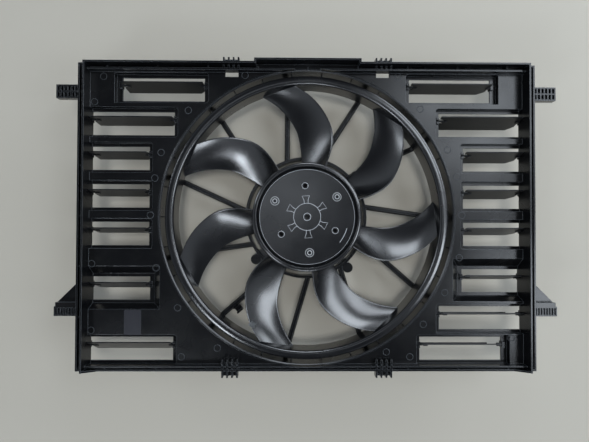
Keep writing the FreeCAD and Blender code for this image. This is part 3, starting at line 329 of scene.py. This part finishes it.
def make_materials():
    """Every finish of the object, by its slot name."""
    colours = bpy.context.scene.shroud_colours
    steel = linear("#b9bbbd")
    return {
        # glass-filled polyamide, injection moulded in a spark-eroded tool: black, satin, faint grain
        "shroud_plastic": material("moulded_polyamide", {"IOR": 1.53, "Specular IOR Level": 0.5},
                                   moulded_pattern(colours.moulding, 0.9, (0.2, 0.3), 0.9, 0.03)),
        # the same plastic from a finely eroded tool: duller than the tray
        "flap_plastic": material("moulded_polyamide_fine", {"IOR": 1.53, "Specular IOR Level": 0.3},
                                 moulded_pattern(colours.moulding, 0.7, (0.3, 0.4), 0.3, 0.02)),
        # the bare pad where a label would go: spark-eroded a little coarser, so it looks greyer
        "pad_plastic": material("moulded_polyamide_pad", {"IOR": 1.53},
                                moulded_pattern(linear("#1b1c23"), 0.5, (0.38, 0.48), 0.3, 0.04)),
        # polished cavity: broad soft highlights run along the blades
        "fan_plastic": material("moulded_polyamide_satin", {"IOR": 1.6, "Specular IOR Level": 1.0},
                                moulded_pattern(colours.fan, 0.8, (0.17, 0.3), 0.6, 0.015, 0.15)),
        # pale beads along the edges and outlines on the hub's face: painted highlight
        "painted_line_highlight": material("painted_highlight_lines", {"IOR": 1.53},
                                 moulded_pattern(linear("#a9adb3"), 0.6, (0.3, 0.45), 0.1, 0.2)),
        # black zinc on the heads of the screws
        "screw_black": material("black_zinc_steel", {"Metallic": 1.0},
                                metal_pattern(linear("#3c3e42"), 0.5, (0.25, 0.4), 0.1)),
        # zinc flake on the screws' collars: matt silver-grey
        "zinc_flake": material("zinc_flake_coating", {"Metallic": 0.3},
                               metal_pattern(linear("#b5b8bb"), 0.5, (0.45, 0.6), 0.08)),
        # black cap moulding with a finer grain
        "cover_plastic": material("moulded_cover_polyamide", {"IOR": 1.53},
                                  moulded_pattern(colours.moulding, 0.5, (0.4, 0.5), 0.4, 0.02)),
        # zinc-plated steel: pale grey, slightly blotched
        "zinc_steel": material("zinc_plated_steel", {"Metallic": 1.0},
                               metal_pattern(steel, 1.5, (0.25, 0.4), 0.12)),
        # deep-drawn sheet, coloured near black as painted shade for the hub's holes it shows through: dull,
        # with no grain
        "drawn_steel": material("sheet_steel_painted_shade", {},
                                metal_pattern(linear("#0e0e10"), 3.0, (0.5, 0.6), 0.1)),
        # pressure die casting: light grey and dull
        "cast_aluminium": material("die_cast_aluminium", {"Metallic": 1.0},
                                   metal_pattern(linear("#a9aaab"), 2.0, (0.45, 0.6), 0.08)),
        # stacked electrical sheet, punched: dark grey and dull
        "core_steel": material("laminated_core_steel", {"Metallic": 1.0},
                               metal_pattern(linear("#5b5d61"), 1.0, (0.4, 0.55), 0.1)),
        # enamelled copper wire: red-brown under a clear gloss
        "copper_wire": material("enamelled_copper", {"Metallic": 1.0},
                                metal_pattern(linear("#b5653a"), 0.8, (0.25, 0.4), 0.15)),
        # ground bearing steel: bright and even
        "bearing_steel": material("ground_bearing_steel", {"Metallic": 1.0},
                                  metal_pattern(linear("#c4c5c6"), 0.8, (0.15, 0.25), 0.04)),
        # sintered ferrite: matt and nearly black
        "ferrite": material("sintered_ferrite", {}, metal_pattern(linear("#2b2b2e"), 0.6, (0.6, 0.75), 0.15)),
        # glass laminate under green solder resist: an even green with some gloss
        "board_laminate": material("coated_laminate", {},
                                   metal_pattern(linear("#1f5a33"), 4.0, (0.3, 0.45), 0.15)),
        # tinned contact blades: bright and faintly warm
        "pin_tin": material("tinned_brass", {"Metallic": 1.0},
                            metal_pattern(linear("#c9c8c0"), 0.6, (0.2, 0.3), 0.05)),
    }


FINISH = {}


# ---------------------------------------------------------------- meshes
def new_piece(name, mesh, slot, body, finish=None):
    """Links a finished mesh as a piece that rides on a body."""
    piece = bpy.data.objects.new(name, mesh)
    bpy.context.scene.collection.objects.link(piece)
    mesh.materials.clear()
    mesh.materials.append(FINISH[finish or slot])
    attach(piece, body)
    return piece


def revolve(profile, steps):
    """A mesh turned about Z from a closed profile of (radius, height) in mm."""
    bm = bmesh.new()
    rings = []
    for k in range(steps):
        angle = 2 * math.pi * k / steps
        c, s = math.cos(angle), math.sin(angle)
        rings.append([bm.verts.new((r * c * MM, r * s * MM, z * MM)) for r, z in profile])
    count = len(profile)
    for k in range(steps):
        near, far = rings[k], rings[(k + 1) % steps]
        for i in range(count):
            j = (i + 1) % count
            if profile[i][0] < 1e-6 and profile[j][0] < 1e-6:
                continue
            bm.faces.new((near[i], near[j], far[j], far[i]))
    bmesh.ops.remove_doubles(bm, verts=bm.verts, dist=1e-7)
    bmesh.ops.dissolve_degenerate(bm, dist=1e-8, edges=bm.edges)
    bmesh.ops.recalc_face_normals(bm, faces=bm.faces)
    return bm


def finish_mesh(bm, name, smooth_degrees=35.0):
    """Turns a bmesh into a mesh with smooth faces and sharp creases."""
    limit = math.radians(smooth_degrees)
    for face in bm.faces:
        face.smooth = abs(face.normal.z) < 0.9999
    for edge in bm.edges:
        if len(edge.link_faces) == 2 and edge.calc_face_angle(0.0) > limit:
            edge.smooth = False
    mesh = bpy.data.meshes.new(name)
    bm.to_mesh(mesh)
    bm.free()
    return mesh


def arc(cx, cz, radius, start, stop, steps):
    """Points on an arc of a profile, both ends included, in degrees."""
    points = []
    for k in range(steps + 1):
        angle = math.radians(start + (stop - start) * k / steps)
        points.append((cx + radius * math.cos(angle), cz + radius * math.sin(angle)))
    return points


def rounded_rectangle(xs, ys, radius, steps):
    """Outline of a rectangle with round corners, from its spans."""
    (left, right), (low, high) = xs, ys
    corners = (
        (right - radius, high - radius), (left + radius, high - radius),
        (left + radius, low + radius), (right - radius, low + radius))
    outline = []
    for k, (x, y) in enumerate(corners):
        outline += arc(x, y, radius, 90 * k, 90 * (k + 1), steps)
    return outline


def add_block(bm, *spans):
    """Adds a box to a bmesh from its spans along X, Y and Z in mm."""
    size = Matrix.Diagonal([(high - low) * MM for low, high in spans] + [1.0])
    spot = Matrix.Translation([(low + high) / 2 * MM for low, high in spans])
    bmesh.ops.create_cube(bm, size=1.0, matrix=spot @ size)


def join_meshes(name, meshes):
    """One mesh from several."""
    bm = bmesh.new()
    for mesh in meshes:
        bm.from_mesh(mesh)
    joined = bpy.data.meshes.new(name)
    bm.to_mesh(joined)
    bm.free()
    return joined


# ---------------------------------------------------------------- geometry nodes
def new_tree(name, inputs):
    """A geometry node group with a geometry input, named inputs and an output."""
    tree = bpy.data.node_groups.new(name, "GeometryNodeTree")
    tree.interface.new_socket("Geometry", in_out="INPUT", socket_type="NodeSocketGeometry")
    for label, kind, value in inputs:
        socket = tree.interface.new_socket(label, in_out="INPUT", socket_type=kind)
        if value is not None:
            socket.default_value = value
    tree.interface.new_socket("Geometry", in_out="OUTPUT", socket_type="NodeSocketGeometry")
    return tree, add(tree, "NodeGroupInput"), add(tree, "NodeGroupOutput")


def run_tree(tree, base, values, name):
    """Runs a node group on a base mesh and returns the result as a plain mesh."""
    holder = bpy.data.objects.new(name + "_holder", base)
    bpy.context.scene.collection.objects.link(holder)
    modifier = holder.modifiers.new("pattern", "NODES")
    modifier.node_group = tree
    for item in tree.interface.items_tree:
        if item.item_type == "SOCKET" and item.in_out == "INPUT" and item.name in values:
            modifier[item.identifier] = values[item.name]
    bpy.context.view_layer.update()
    evaluated = holder.evaluated_get(bpy.context.evaluated_depsgraph_get())
    mesh = bpy.data.meshes.new_from_object(evaluated)
    mesh.name = name
    holder.modifiers.clear()
    bpy.data.objects.remove(holder)
    return mesh


def place_copies(tree, start, end, links):
    """Ends a tree with instances on points, made real and given the material."""
    copies = add(tree, "GeometryNodeInstanceOnPoints", {}, links)
    real = add(tree, "GeometryNodeRealizeInstances", {}, {0: copies.outputs[0]})
    paint = add(tree, "GeometryNodeSetMaterial", {}, {
        "Geometry": real.outputs[0], "Material": start.outputs["Material"]})
    tree.links.new(paint.outputs[0], end.inputs[0])
    return tree


def around_tree(name):
    """Copies the base mesh about the Z axis."""
    tree, start, end = new_tree(name, [
        ("Count", "NodeSocketInt", 7), ("Material", "NodeSocketMaterial", None)])
    spots = add(tree, "GeometryNodeMeshLine", {"Offset": (0.0, 0.0, 0.0)}, {"Count": start.outputs["Count"]})
    index = add(tree, "GeometryNodeInputIndex")
    turn = add(tree, "ShaderNodeMath", {"operation": "DIVIDE", 0: 2 * math.pi}, {1: start.outputs["Count"]})
    angle = add(tree, "ShaderNodeMath", {"operation": "MULTIPLY"}, {0: index.outputs[0], 1: turn.outputs[0]})
    spin = add(tree, "ShaderNodeCombineXYZ", {}, {"Z": angle.outputs[0]})
    return place_copies(tree, start, end, {
        "Points": spots.outputs[0], "Instance": start.outputs["Geometry"], "Rotation": spin.outputs[0]})


def ring_marks_tree(name):
    """A thin raised ring on every vertex of the base mesh."""
    tree, start, end = new_tree(name, [
        ("Radius", "NodeSocketFloat", 0.005), ("Line", "NodeSocketFloat", 0.0005),
        ("Height", "NodeSocketFloat", 0.00015), ("Material", "NodeSocketMaterial", None)])
    circle = add(tree, "GeometryNodeCurvePrimitiveCircle", {"Resolution": 40},
                 {"Radius": start.outputs["Radius"]})
    section = add(tree, "GeometryNodeCurvePrimitiveCircle", {"Resolution": 8},
                  {"Radius": start.outputs["Line"]})
    tube = add(tree, "GeometryNodeCurveToMesh", {}, {
        "Curve": circle.outputs[0], "Profile Curve": section.outputs[0]})
    squeeze = add(tree, "ShaderNodeMath", {"operation": "DIVIDE"}, {
        0: start.outputs["Height"], 1: start.outputs["Line"]})
    scale = add(tree, "ShaderNodeCombineXYZ", {"X": 1.0, "Y": 1.0}, {"Z": squeeze.outputs[0]})
    flat = add(tree, "GeometryNodeTransform", {}, {"Geometry": tube.outputs[0], "Scale": scale.outputs[0]})
    smooth = add(tree, "GeometryNodeSetShadeSmooth", {}, {"Geometry": flat.outputs[0]})
    return place_copies(tree, start, end, {
        "Points": start.outputs["Geometry"], "Instance": smooth.outputs[0]})


def spots_tree(name, part):
    """A copy of a finished mesh on every vertex of the base mesh."""
    tree, start, end = new_tree(name, [("Material", "NodeSocketMaterial", None)])
    holder = bpy.data.objects.new(name + "_part", part)
    source = add(tree, "GeometryNodeObjectInfo", {"Object": holder})
    return place_copies(tree, start, end, {
        "Points": start.outputs["Geometry"], "Instance": source.outputs["Geometry"]})


def points_mesh(name, points):
    """A mesh of loose vertices, given in millimetres."""
    mesh = bpy.data.meshes.new(name)
    mesh.from_pydata([tuple(c * MM for c in p) for p in points], [], [])
    return mesh


# ---------------------------------------------------------------- fan
def station_at(radius):
    """Blade angles and heights at a radius, smoothly between the stations."""
    table = np.array(BLADE_STATIONS)
    radii = table[:, 0]
    slopes = np.gradient(table[:, 1:], radii, axis=0)
    i = int(np.clip(np.searchsorted(radii, radius) - 1, 0, len(radii) - 2))
    step = radii[i + 1] - radii[i]
    t = (radius - radii[i]) / step
    h00, h10 = 2 * t**3 - 3 * t**2 + 1, t**3 - 2 * t**2 + t
    h01, h11 = -2 * t**3 + 3 * t**2, t**3 - t**2
    a, b = table[i, 1:], table[i + 1, 1:]
    return h00 * a + h10 * step * slopes[i] + h01 * b + h11 * step * slopes[i + 1]


def blade_loop(radius, sizes):
    """Closed loop of points round the blade's section at a radius."""
    lead, trail, lead_z, trail_z = station_at(radius)
    middle = math.radians(lead + trail) / 2
    span = 2 * radius * math.tan(math.radians(trail - lead) / 2)
    drop = lead_z - trail_z
    chord = math.hypot(span, drop)
    edge, belly = sizes.edge_thickness / MM / 2, sizes.blade_thickness / MM / 2
    sag = -sizes.camber * chord

    def point(share, offset):
        along = span * (share - 0.5) + drop / chord * offset
        height = lead_z - drop * share + span / chord * offset
        x = radius * math.cos(middle) - along * math.sin(middle)
        y = radius * math.sin(middle) + along * math.cos(middle)
        return x * MM, y * MM, height * MM

    def camber(share, side):
        return 4 * share * (1 - share) * (sag + side * (belly - edge)) + side * edge

    shares = [k / SECTION_STEPS for k in range(SECTION_STEPS + 1)]
    turns = [math.pi * k / NOSE_STEPS for k in range(1, NOSE_STEPS)]
    loop = [point(share, camber(share, 1)) for share in shares]
    loop += [point(1 + edge / chord * math.sin(turn), edge * math.cos(turn)) for turn in turns]
    loop += [point(1 - share, camber(1 - share, -1)) for share in shares]
    loop += [point(-edge / chord * math.sin(turn), -edge * math.cos(turn)) for turn in turns]
    return loop


def blade_mesh(sizes):
    """One blade as a closed skin of sections from the hub to the ring."""
    bm = bmesh.new()
    radii = np.linspace(BLADE_STATIONS[0][0] + BLADE_ROOT_OUT, BLADE_STATIONS[-1][0], BLADE_SECTIONS)
    rings = [[bm.verts.new(p) for p in blade_loop(r, sizes)] for r in radii]
    for near, far in zip(rings, rings[1:]):
        for i in range(len(near)):
            j = (i + 1) % len(near)
            bm.faces.new((near[i], near[j], far[j], far[i]))
    bm.faces.new(rings[0])
    bm.faces.new(rings[-1][::-1])
    bmesh.ops.recalc_face_normals(bm, faces=bm.faces)
    return finish_mesh(bm, "blade", 50.0)


def hub_profile():
    """Section of the hub: bored boss, disc, groove, rim and skirt."""
    inner, middle, outer = GROOVE_R
    profile = [
        (BORE_R, DISC_Z), (BORE_R, BORE_CONE_Z[0]), (0.0, BORE_CONE_Z[1]),
        (0.0, BOSS_REAR_Z), (BOSS_R, BOSS_REAR_Z), (BOSS_R, DISC_REAR_Z),
        (GROOVE_BACK_R, DISC_REAR_Z), (GROOVE_BACK_R, RIM_REAR_Z),
        (SKIRT_INNER_R, RIM_REAR_Z), (SKIRT_INNER_R, HUB_REAR_Z), (HUB_R, HUB_REAR_Z),
    ]
    profile += arc(HUB_R - RIM_ROUND, RIM_FRONT_Z - RIM_ROUND, RIM_ROUND, 0, 90, 12)
    profile += arc(outer + RIM_INNER_ROUND, RIM_FRONT_Z - RIM_INNER_ROUND, RIM_INNER_ROUND, 90, 180, 4)
    profile += [(outer, GROOVE_Z[0]), (middle, GROOVE_Z[1]), (inner, GROOVE_Z[0])]
    profile += arc(inner - DISC_EDGE_ROUND, DISC_Z - DISC_EDGE_ROUND, DISC_EDGE_ROUND, 0, 90, 3)
    return profile


def hub_mesh(places):
    """The hub with its holes, each given as x, y and radius."""
    hub = finish_mesh(revolve(hub_profile(), 192), "hub", 30.0)
    cut_z, cut_length = HOLE_CUT
    bm = bmesh.new()
    for x, y, radius in places:
        spot = Matrix.Translation((x * MM, y * MM, cut_z * MM))
        bmesh.ops.create_cone(bm, cap_ends=True, segments=32, radius1=radius * MM, radius2=radius * MM,
                              depth=cut_length * MM, matrix=spot)
    cutter_mesh = bpy.data.meshes.new("hub_holes")
    bm.to_mesh(cutter_mesh)
    bm.free()
    body = bpy.data.objects.new("hub_body", hub)
    cutter = bpy.data.objects.new("hub_cutter", cutter_mesh)
    for item in (body, cutter):
        bpy.context.scene.collection.objects.link(item)
    cut = body.modifiers.new("holes", "BOOLEAN")
    cut.object = cutter
    cut.solver = "EXACT"
    bpy.context.view_layer.update()
    mesh = bpy.data.meshes.new_from_object(body.evaluated_get(bpy.context.evaluated_depsgraph_get()))
    for item in (body, cutter):
        bpy.data.objects.remove(item)
    bm = bmesh.new()
    bm.from_mesh(mesh)
    for edge in bm.edges:
        edge.smooth = True
    return finish_mesh(bm, "hub", 22.0)


def ring_profile():
    """Section of the fan's outer ring: a band whose front rolls out into a flange."""
    crest_r, crest_z = CREST_AT
    inside, outside = CREST_ROUND
    low, edge, front = FLANGE_Z
    profile = [(RING_INNER_R, RING_REAR_Z), (RING_OUTER_R, RING_REAR_Z), (RING_OUTER_R, crest_z)]
    profile += arc(crest_r, crest_z, inside, 180, 90, 5)
    profile += [(FLANGE_R - FLANGE_CHAMFER, low), (FLANGE_R, edge), (FLANGE_R, front)]
    profile += arc(*FLANGE_EDGE_ARC, 30, 62, 4)
    profile += arc(*FLANGE_SLOPE_ARC, 64, 92, 8)
    profile += arc(crest_r, crest_z, outside, 96, 180, 12)
    return profile


def collar_mesh(x, y, inner, outer):
    """A raised collar round a hole in the hub's face."""
    rear, front = COLLAR_Z
    bm = revolve([
        (inner, rear), (outer, rear), (outer, front - COLLAR_BEVEL), (outer - COLLAR_BEVEL, front),
        (inner + COLLAR_BEVEL, front), (inner, front - COLLAR_BORE_BEVEL)], 40)
    bmesh.ops.translate(bm, verts=bm.verts, vec=(x * MM, y * MM, 0))
    return finish_mesh(bm, "collar", 25.0)


def on_circle(radius, degrees):
    """A point on a circle round the fan's axis."""
    angle = math.radians(degrees)
    return radius * math.cos(angle), radius * math.sin(angle)


def fan_places():
    """Places of the three screw holes and the three plain holes in the hub's face."""
    return [[on_circle(radius, first + 120 * k) for k in range(3)]
            for radius, first in (SCREW_CIRCLE, PLAIN_CIRCLE)]


def face_lines():
    """Lines on the hub's face: points, whether they close, and share of the full width."""
    def round_line(radius, first, step, count):
        return [on_circle(radius, first + step * k) for k in range(count)]

    lines = [(round_line(INSERT_R, 0, 5, 72), True, 0.85)]
    for k in range(INSERT_TABS):
        turn = SCREW_CIRCLE[1] + 360 / INSERT_TABS * k
        tab = [on_circle(radius, turn - angle) for radius, angle in TAB_SIDE]
        tab += [on_circle(radius, turn + angle) for radius, angle in reversed(TAB_SIDE)]
        lines.append((tab, False, 0.85))
    lines.append((round_line(DASH_R, -38, 2, 12), False, 1.0))
    # painted highlight along the disc's edge
    lines.append((round_line(DISC_EDGE_HIGHLIGHT_R, 0, 3, 120), True, 0.5))
    lines.append((round_line(CENTRE_LINE_R, 0, 15, 24), True, 0.8))
    return lines


def face_lines_mesh():
    """The lines on the hub's face as round beads, which are drawn pale as a painted highlight."""
    curve = bpy.data.curves.new("insert_lines", "CURVE")
    curve.dimensions = "3D"
    curve.bevel_depth = LINE_R * MM
    curve.bevel_resolution = 2
    for points, closed, share in face_lines():
        spline = curve.splines.new("POLY")
        spline.points.add(len(points) - 1)
        for spot, (x, y) in zip(spline.points, points):
            z = COLLAR_LINE_Z if math.hypot(x, y) < BORE_COLLAR_R else FACE_LINE_Z
            spot.co = (x * MM, y * MM, z * MM, 1)
            spot.radius = share
        spline.use_cyclic_u = closed
    holder = bpy.data.objects.new("insert_holder", curve)
    bpy.context.scene.collection.objects.link(holder)
    bpy.context.view_layer.update()
    mesh = bpy.data.meshes.new_from_object(holder.evaluated_get(bpy.context.evaluated_depsgraph_get()))
    bpy.data.objects.remove(holder)
    return mesh


def ring_marks(name, spots, z, radius, line, height, finish):
    """Raised rings round spots at one height; radius, line and height in metres."""
    return run_tree(
        ring_marks_tree(name + "_tree"), points_mesh(name + "_spots", [(x, y, z) for x, y in spots]),
        {"Radius": radius, "Line": line, "Height": height, "Material": FINISH[finish]}, name)


# ---------------------------------------------------------------- panel
def label_pad_mesh():
    """The bare pad where a label would go."""
    rear, front = PAD_Z
    bm = bmesh.new()
    outline = rounded_rectangle(PAD_X, PAD_Y, PAD_CORNER_R, 4)
    bmesh.ops.contextual_create(bm, geom=[bm.verts.new((x * MM, y * MM, rear * MM)) for x, y in outline])
    raised = bmesh.ops.extrude_face_region(bm, geom=bm.faces[:])
    moved = [v for v in raised["geom"] if isinstance(v, bmesh.types.BMVert)]
    bmesh.ops.translate(bm, verts=moved, vec=(0, 0, (front - rear) * MM))
    bmesh.ops.recalc_face_normals(bm, faces=bm.faces[:])
    return finish_mesh(bm, "label_pad", 30.0)


# ---------------------------------------------------------------- stage
def make_floor(scene):
    """A plain floor."""
    shader = {"Base Color": rgba(scene.shroud_colours.floor), "Roughness": 0.9}
    mesh = bpy.data.meshes.new("floor")
    corners = [(-1, -1), (1, -1), (1, 1), (-1, 1)]
    mesh.from_pydata([(FLOOR_REACH * x, FLOOR_REACH * y, 0) for x, y in corners], [], [(0, 1, 2, 3)])
    mesh.materials.append(material("plain_floor", shader))
    floor = bpy.data.objects.new("floor", mesh)
    scene.collection.objects.link(floor)


def make_lamp(scene, name, azimuth, polar, reach, width, height, power, colour):
    """An area lamp that points at the origin."""
    lamp = bpy.data.lights.new(name, "AREA")
    lamp.shape = "RECTANGLE"
    lamp.size, lamp.size_y = width, height
    lamp.energy = power
    lamp.color = colour
    turn, lean = math.radians(azimuth), math.radians(polar)
    spot = reach * Vector((math.cos(turn) * math.sin(lean), math.sin(turn) * math.sin(lean), math.cos(lean)))
    holder = bpy.data.objects.new(name, lamp)
    holder.location = spot
    holder.rotation_euler = (-spot).to_track_quat("-Z", "Y").to_euler()
    holder.visible_glossy = name != HIDDEN_IN_REFLECTIONS
    scene.collection.objects.link(holder)


def make_sky(scene):
    """A pale sky that is brightest near the horizon."""
    world = bpy.data.worlds.new("studio")
    world.use_nodes = True
    tree = world.node_tree
    background = tree.nodes["Background"]
    background.inputs["Color"].default_value = SKY_COLOUR
    direction = add(tree, "ShaderNodeTexCoord").outputs["Generated"]
    height = add(tree, "ShaderNodeSeparateXYZ", {}, {0: direction})
    fade = add(tree, "ShaderNodeMapRange", {
        "From Min": SKY_RISE[0], "From Max": SKY_RISE[1],
        "To Min": SKY_STRENGTH[0], "To Max": SKY_STRENGTH[1]}, {"Value": height.outputs["Z"]})
    tree.links.new(fade.outputs[0], background.inputs["Strength"])
    scene.world = world


def make_camera(scene):
    """The camera over the front of the part."""
    camera = bpy.data.cameras.new("camera")
    camera.sensor_width = SENSOR_MM
    camera.lens = SENSOR_MM * FOCAL_SHARE
    camera.clip_start = 0.01
    look = Matrix.Identity(3)
    for axis, degrees in CAMERA_TURN:
        look = look @ Matrix.Rotation(math.radians(degrees), 3, axis)
    holder = bpy.data.objects.new("camera", camera)
    holder.matrix_world = Matrix.Translation(CAMERA_PLACE) @ look.transposed().to_4x4()
    scene.collection.objects.link(holder)
    scene.camera = holder


class OBJECT_OT_shroud_materials(bpy.types.Operator):
    """Makes the finishes and puts them on the frame's own pieces"""
    bl_idname = "object.shroud_materials"
    bl_label = "Finishes"

    def execute(self, context):
        FINISH.update(make_materials())
        slots = {s["node"]: s["material_slot"] for s in frame["record"]["subparts"]}
        for name, node in frame["nodes"].items():
            node.data.materials.clear()
            node.data.materials.append(FINISH[slots[name]])
        return {"FINISHED"}


class OBJECT_OT_shroud_fan(bpy.types.Operator):
    """Makes the fan: hub, blades and ring"""
    bl_idname = "object.shroud_fan"
    bl_label = "Fan"

    def execute(self, context):
        sizes = context.scene.shroud_sizes
        screws, plain = fan_places()
        holes = [(x, y, SCREW_HOLE_R) for x, y in screws] + [(x, y, PLAIN_HOLE_R) for x, y in plain]
        hub = hub_mesh(holes)
        blades = run_tree(around_tree("blades_round_hub"), blade_mesh(sizes),
                          {"Count": sizes.blade_count, "Material": FINISH["fan_plastic"]}, "blades")
        band = finish_mesh(revolve(ring_profile(), 288), "ring", 30.0)
        bosses = [collar_mesh(x, y, PLAIN_HOLE_R, HOLE_COLLAR_R) for x, y in plain]
        bosses.append(collar_mesh(0.0, 0.0, BORE_R, BORE_COLLAR_R))
        mesh = join_meshes("fan_moulding", [hub, blades, band] + bosses)
        piece = new_piece("fan_moulding", mesh, "fan_plastic", "fan")
        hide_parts("fan_wheel")
        return {"FINISHED"}


class OBJECT_OT_shroud_hub_face(bpy.types.Operator):
    """Makes the insert lines on the hub's face, the painted highlights on the plain holes' collars and the
    rings under its screws
    """
    bl_idname = "object.shroud_hub_face"
    bl_label = "Hub face"

    def execute(self, context):
        screws, plain = fan_places()
        new_piece("hub_insert_lines", face_lines_mesh(), "fan_plastic", "fan", "painted_line_highlight")
        # pale rings on the plain holes' collars: painted highlight
        hole_highlights = ring_marks("hub_hole_lips", plain, COLLAR_LINE_Z, HOLE_HIGHLIGHT_R * MM, HOLE_HIGHLIGHT_LINE * MM, HOLE_HIGHLIGHT_LINE * MM,
                          "painted_line_highlight")
        new_piece("hub_hole_lips", hole_highlights, "fan_plastic", "fan", "painted_line_highlight")
        line = SCREW_RING_LINE * MM
        radius = context.scene.shroud_sizes.screw_ring - line
        rings = ring_marks("fan_screw_rings", screws, SCREW_RING_Z, radius, line, line, "zinc_flake")
        new_piece("fan_screw_rings", rings, "zinc_steel", "fan", "zinc_flake")
        return {"FINISHED"}


class OBJECT_OT_shroud_fan_screws(bpy.types.Operator):
    """Makes the three fan screws with a driver recess in each head"""
    bl_idname = "object.shroud_fan_screws"
    bl_label = "Fan screws"

    def execute(self, context):
        head = [(0.0, SHANK_END_Z), (SHANK_R, SHANK_END_Z), (SHANK_R, DISC_Z), (HEAD_R, DISC_Z)]
        head += [(HEAD_R, HEAD_FRONT_Z - HEAD_ROUND)]
        head += arc(HEAD_R - HEAD_ROUND, HEAD_FRONT_Z - HEAD_ROUND, HEAD_ROUND, 0, 90, 5)
        base = finish_mesh(revolve(head + list(SCREW_RECESS), 32), "fan_screw", 30.0)
        rim = finish_mesh(revolve(SCREW_RIM, 32), "rim", 30.0)
        screws, _ = fan_places()
        spots = points_mesh("fan_screw_spots", [(x, y, 0.0) for x, y in screws])
        for name, part, finish in (("fan_screw_heads", base, "screw_black"),
                                   ("fan_screw_rims", rim, "zinc_flake")):
            mesh = run_tree(spots_tree(name + "_tree", part), spots.copy(),
                            {"Material": FINISH[finish]}, name)
            piece = new_piece(name, mesh, "zinc_steel", "fan", finish)
            if finish == "screw_black":
                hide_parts("fan_screws")
        return {"FINISHED"}


class OBJECT_OT_shroud_marks(bpy.types.Operator):
    """Makes the round ejector marks and the bare label pad on the panel"""
    bl_idname = "object.shroud_marks"
    bl_label = "Ejector marks"

    def execute(self, context):
        sizes = context.scene.shroud_sizes
        marks = ring_marks("ejector_marks", MARK_SPOTS, PANEL_Z, sizes.mark_radius, sizes.mark_line,
                           MARK_RISE * MM, "shroud_plastic")
        new_piece("ejector_marks", marks, "shroud_plastic", "shroud")
        new_piece("label_pad", label_pad_mesh(), "shroud_plastic", "shroud", "pad_plastic")
        return {"FINISHED"}


class OBJECT_OT_shroud_clip_fingers(bpy.types.Operator):
    """Makes the fingers that run in over the slots of the two bottom clips"""
    bl_idname = "object.shroud_clip_fingers"
    bl_label = "Bottom clip fingers"

    def execute(self, context):
        bm = bmesh.new()
        half = CLIP_W / 2
        pitch = (CLIP_W - CLIP_RIB_T) / (CLIP_RIBS - 1)
        for x in (-CLIP_X, CLIP_X):
            add_block(bm, (x - CLIP_FLOOR_W / 2, x + CLIP_FLOOR_W / 2), CLIP_Y, CLIP_FLOOR_Z)
            for k in range(CLIP_RIBS):
                left = x - half + pitch * k
                add_block(bm, (left, left + CLIP_RIB_T), CLIP_Y, (CLIP_FLOOR_Z[1], CLIP_FRONT_Z))
        new_piece("clip_fingers", finish_mesh(bm, "clip_fingers", 30.0), "shroud_plastic", "shroud")
        return {"FINISHED"}


class OBJECT_OT_shroud_stage(bpy.types.Operator):
    """Makes the floor, the lamps and the camera"""
    bl_idname = "object.shroud_stage"
    bl_label = "Stage"

    def execute(self, context):
        scene = context.scene
        make_floor(scene)
        for lamp in LAMPS:
            make_lamp(scene, *lamp)
        make_sky(scene)
        make_camera(scene)
        scene.view_settings.view_transform = "Standard"
        return {"FINISHED"}


PIECES = (
    OBJECT_OT_shroud_materials,
    OBJECT_OT_shroud_fan,
    OBJECT_OT_shroud_hub_face,
    OBJECT_OT_shroud_fan_screws,
    OBJECT_OT_shroud_marks,
    OBJECT_OT_shroud_clip_fingers,
    OBJECT_OT_shroud_stage,
)


class VIEW3D_PT_shroud(bpy.types.Panel):
    """Lists the sizes, the colours and the steps"""
    bl_idname = "VIEW3D_PT_shroud"
    bl_label = "Fan Shroud"
    bl_space_type = "VIEW_3D"
    bl_region_type = "UI"
    bl_category = "Fan Shroud"

    def draw(self, context):
        column = self.layout.column()
        for group in (context.scene.shroud_sizes, context.scene.shroud_colours):
            for key in group.__annotations__:
                column.prop(group, key)
        for piece in PIECES:
            column.operator(piece.bl_idname)


CLASSES = (ShroudColours, ShroudSizes) + PIECES + (VIEW3D_PT_shroud,)


def register():
    for item in CLASSES:
        bpy.utils.register_class(item)
    bpy.types.Scene.shroud_colours = bpy.props.PointerProperty(type=ShroudColours)
    bpy.types.Scene.shroud_sizes = bpy.props.PointerProperty(type=ShroudSizes)


def unregister():
    del bpy.types.Scene.shroud_sizes
    del bpy.types.Scene.shroud_colours
    for item in reversed(CLASSES):
        bpy.utils.unregister_class(item)


def main():
    register()
    for piece in PIECES:
        group, name = piece.bl_idname.split(".")
        getattr(getattr(bpy.ops, group), name)()


if __name__ == "__main__":
    main()
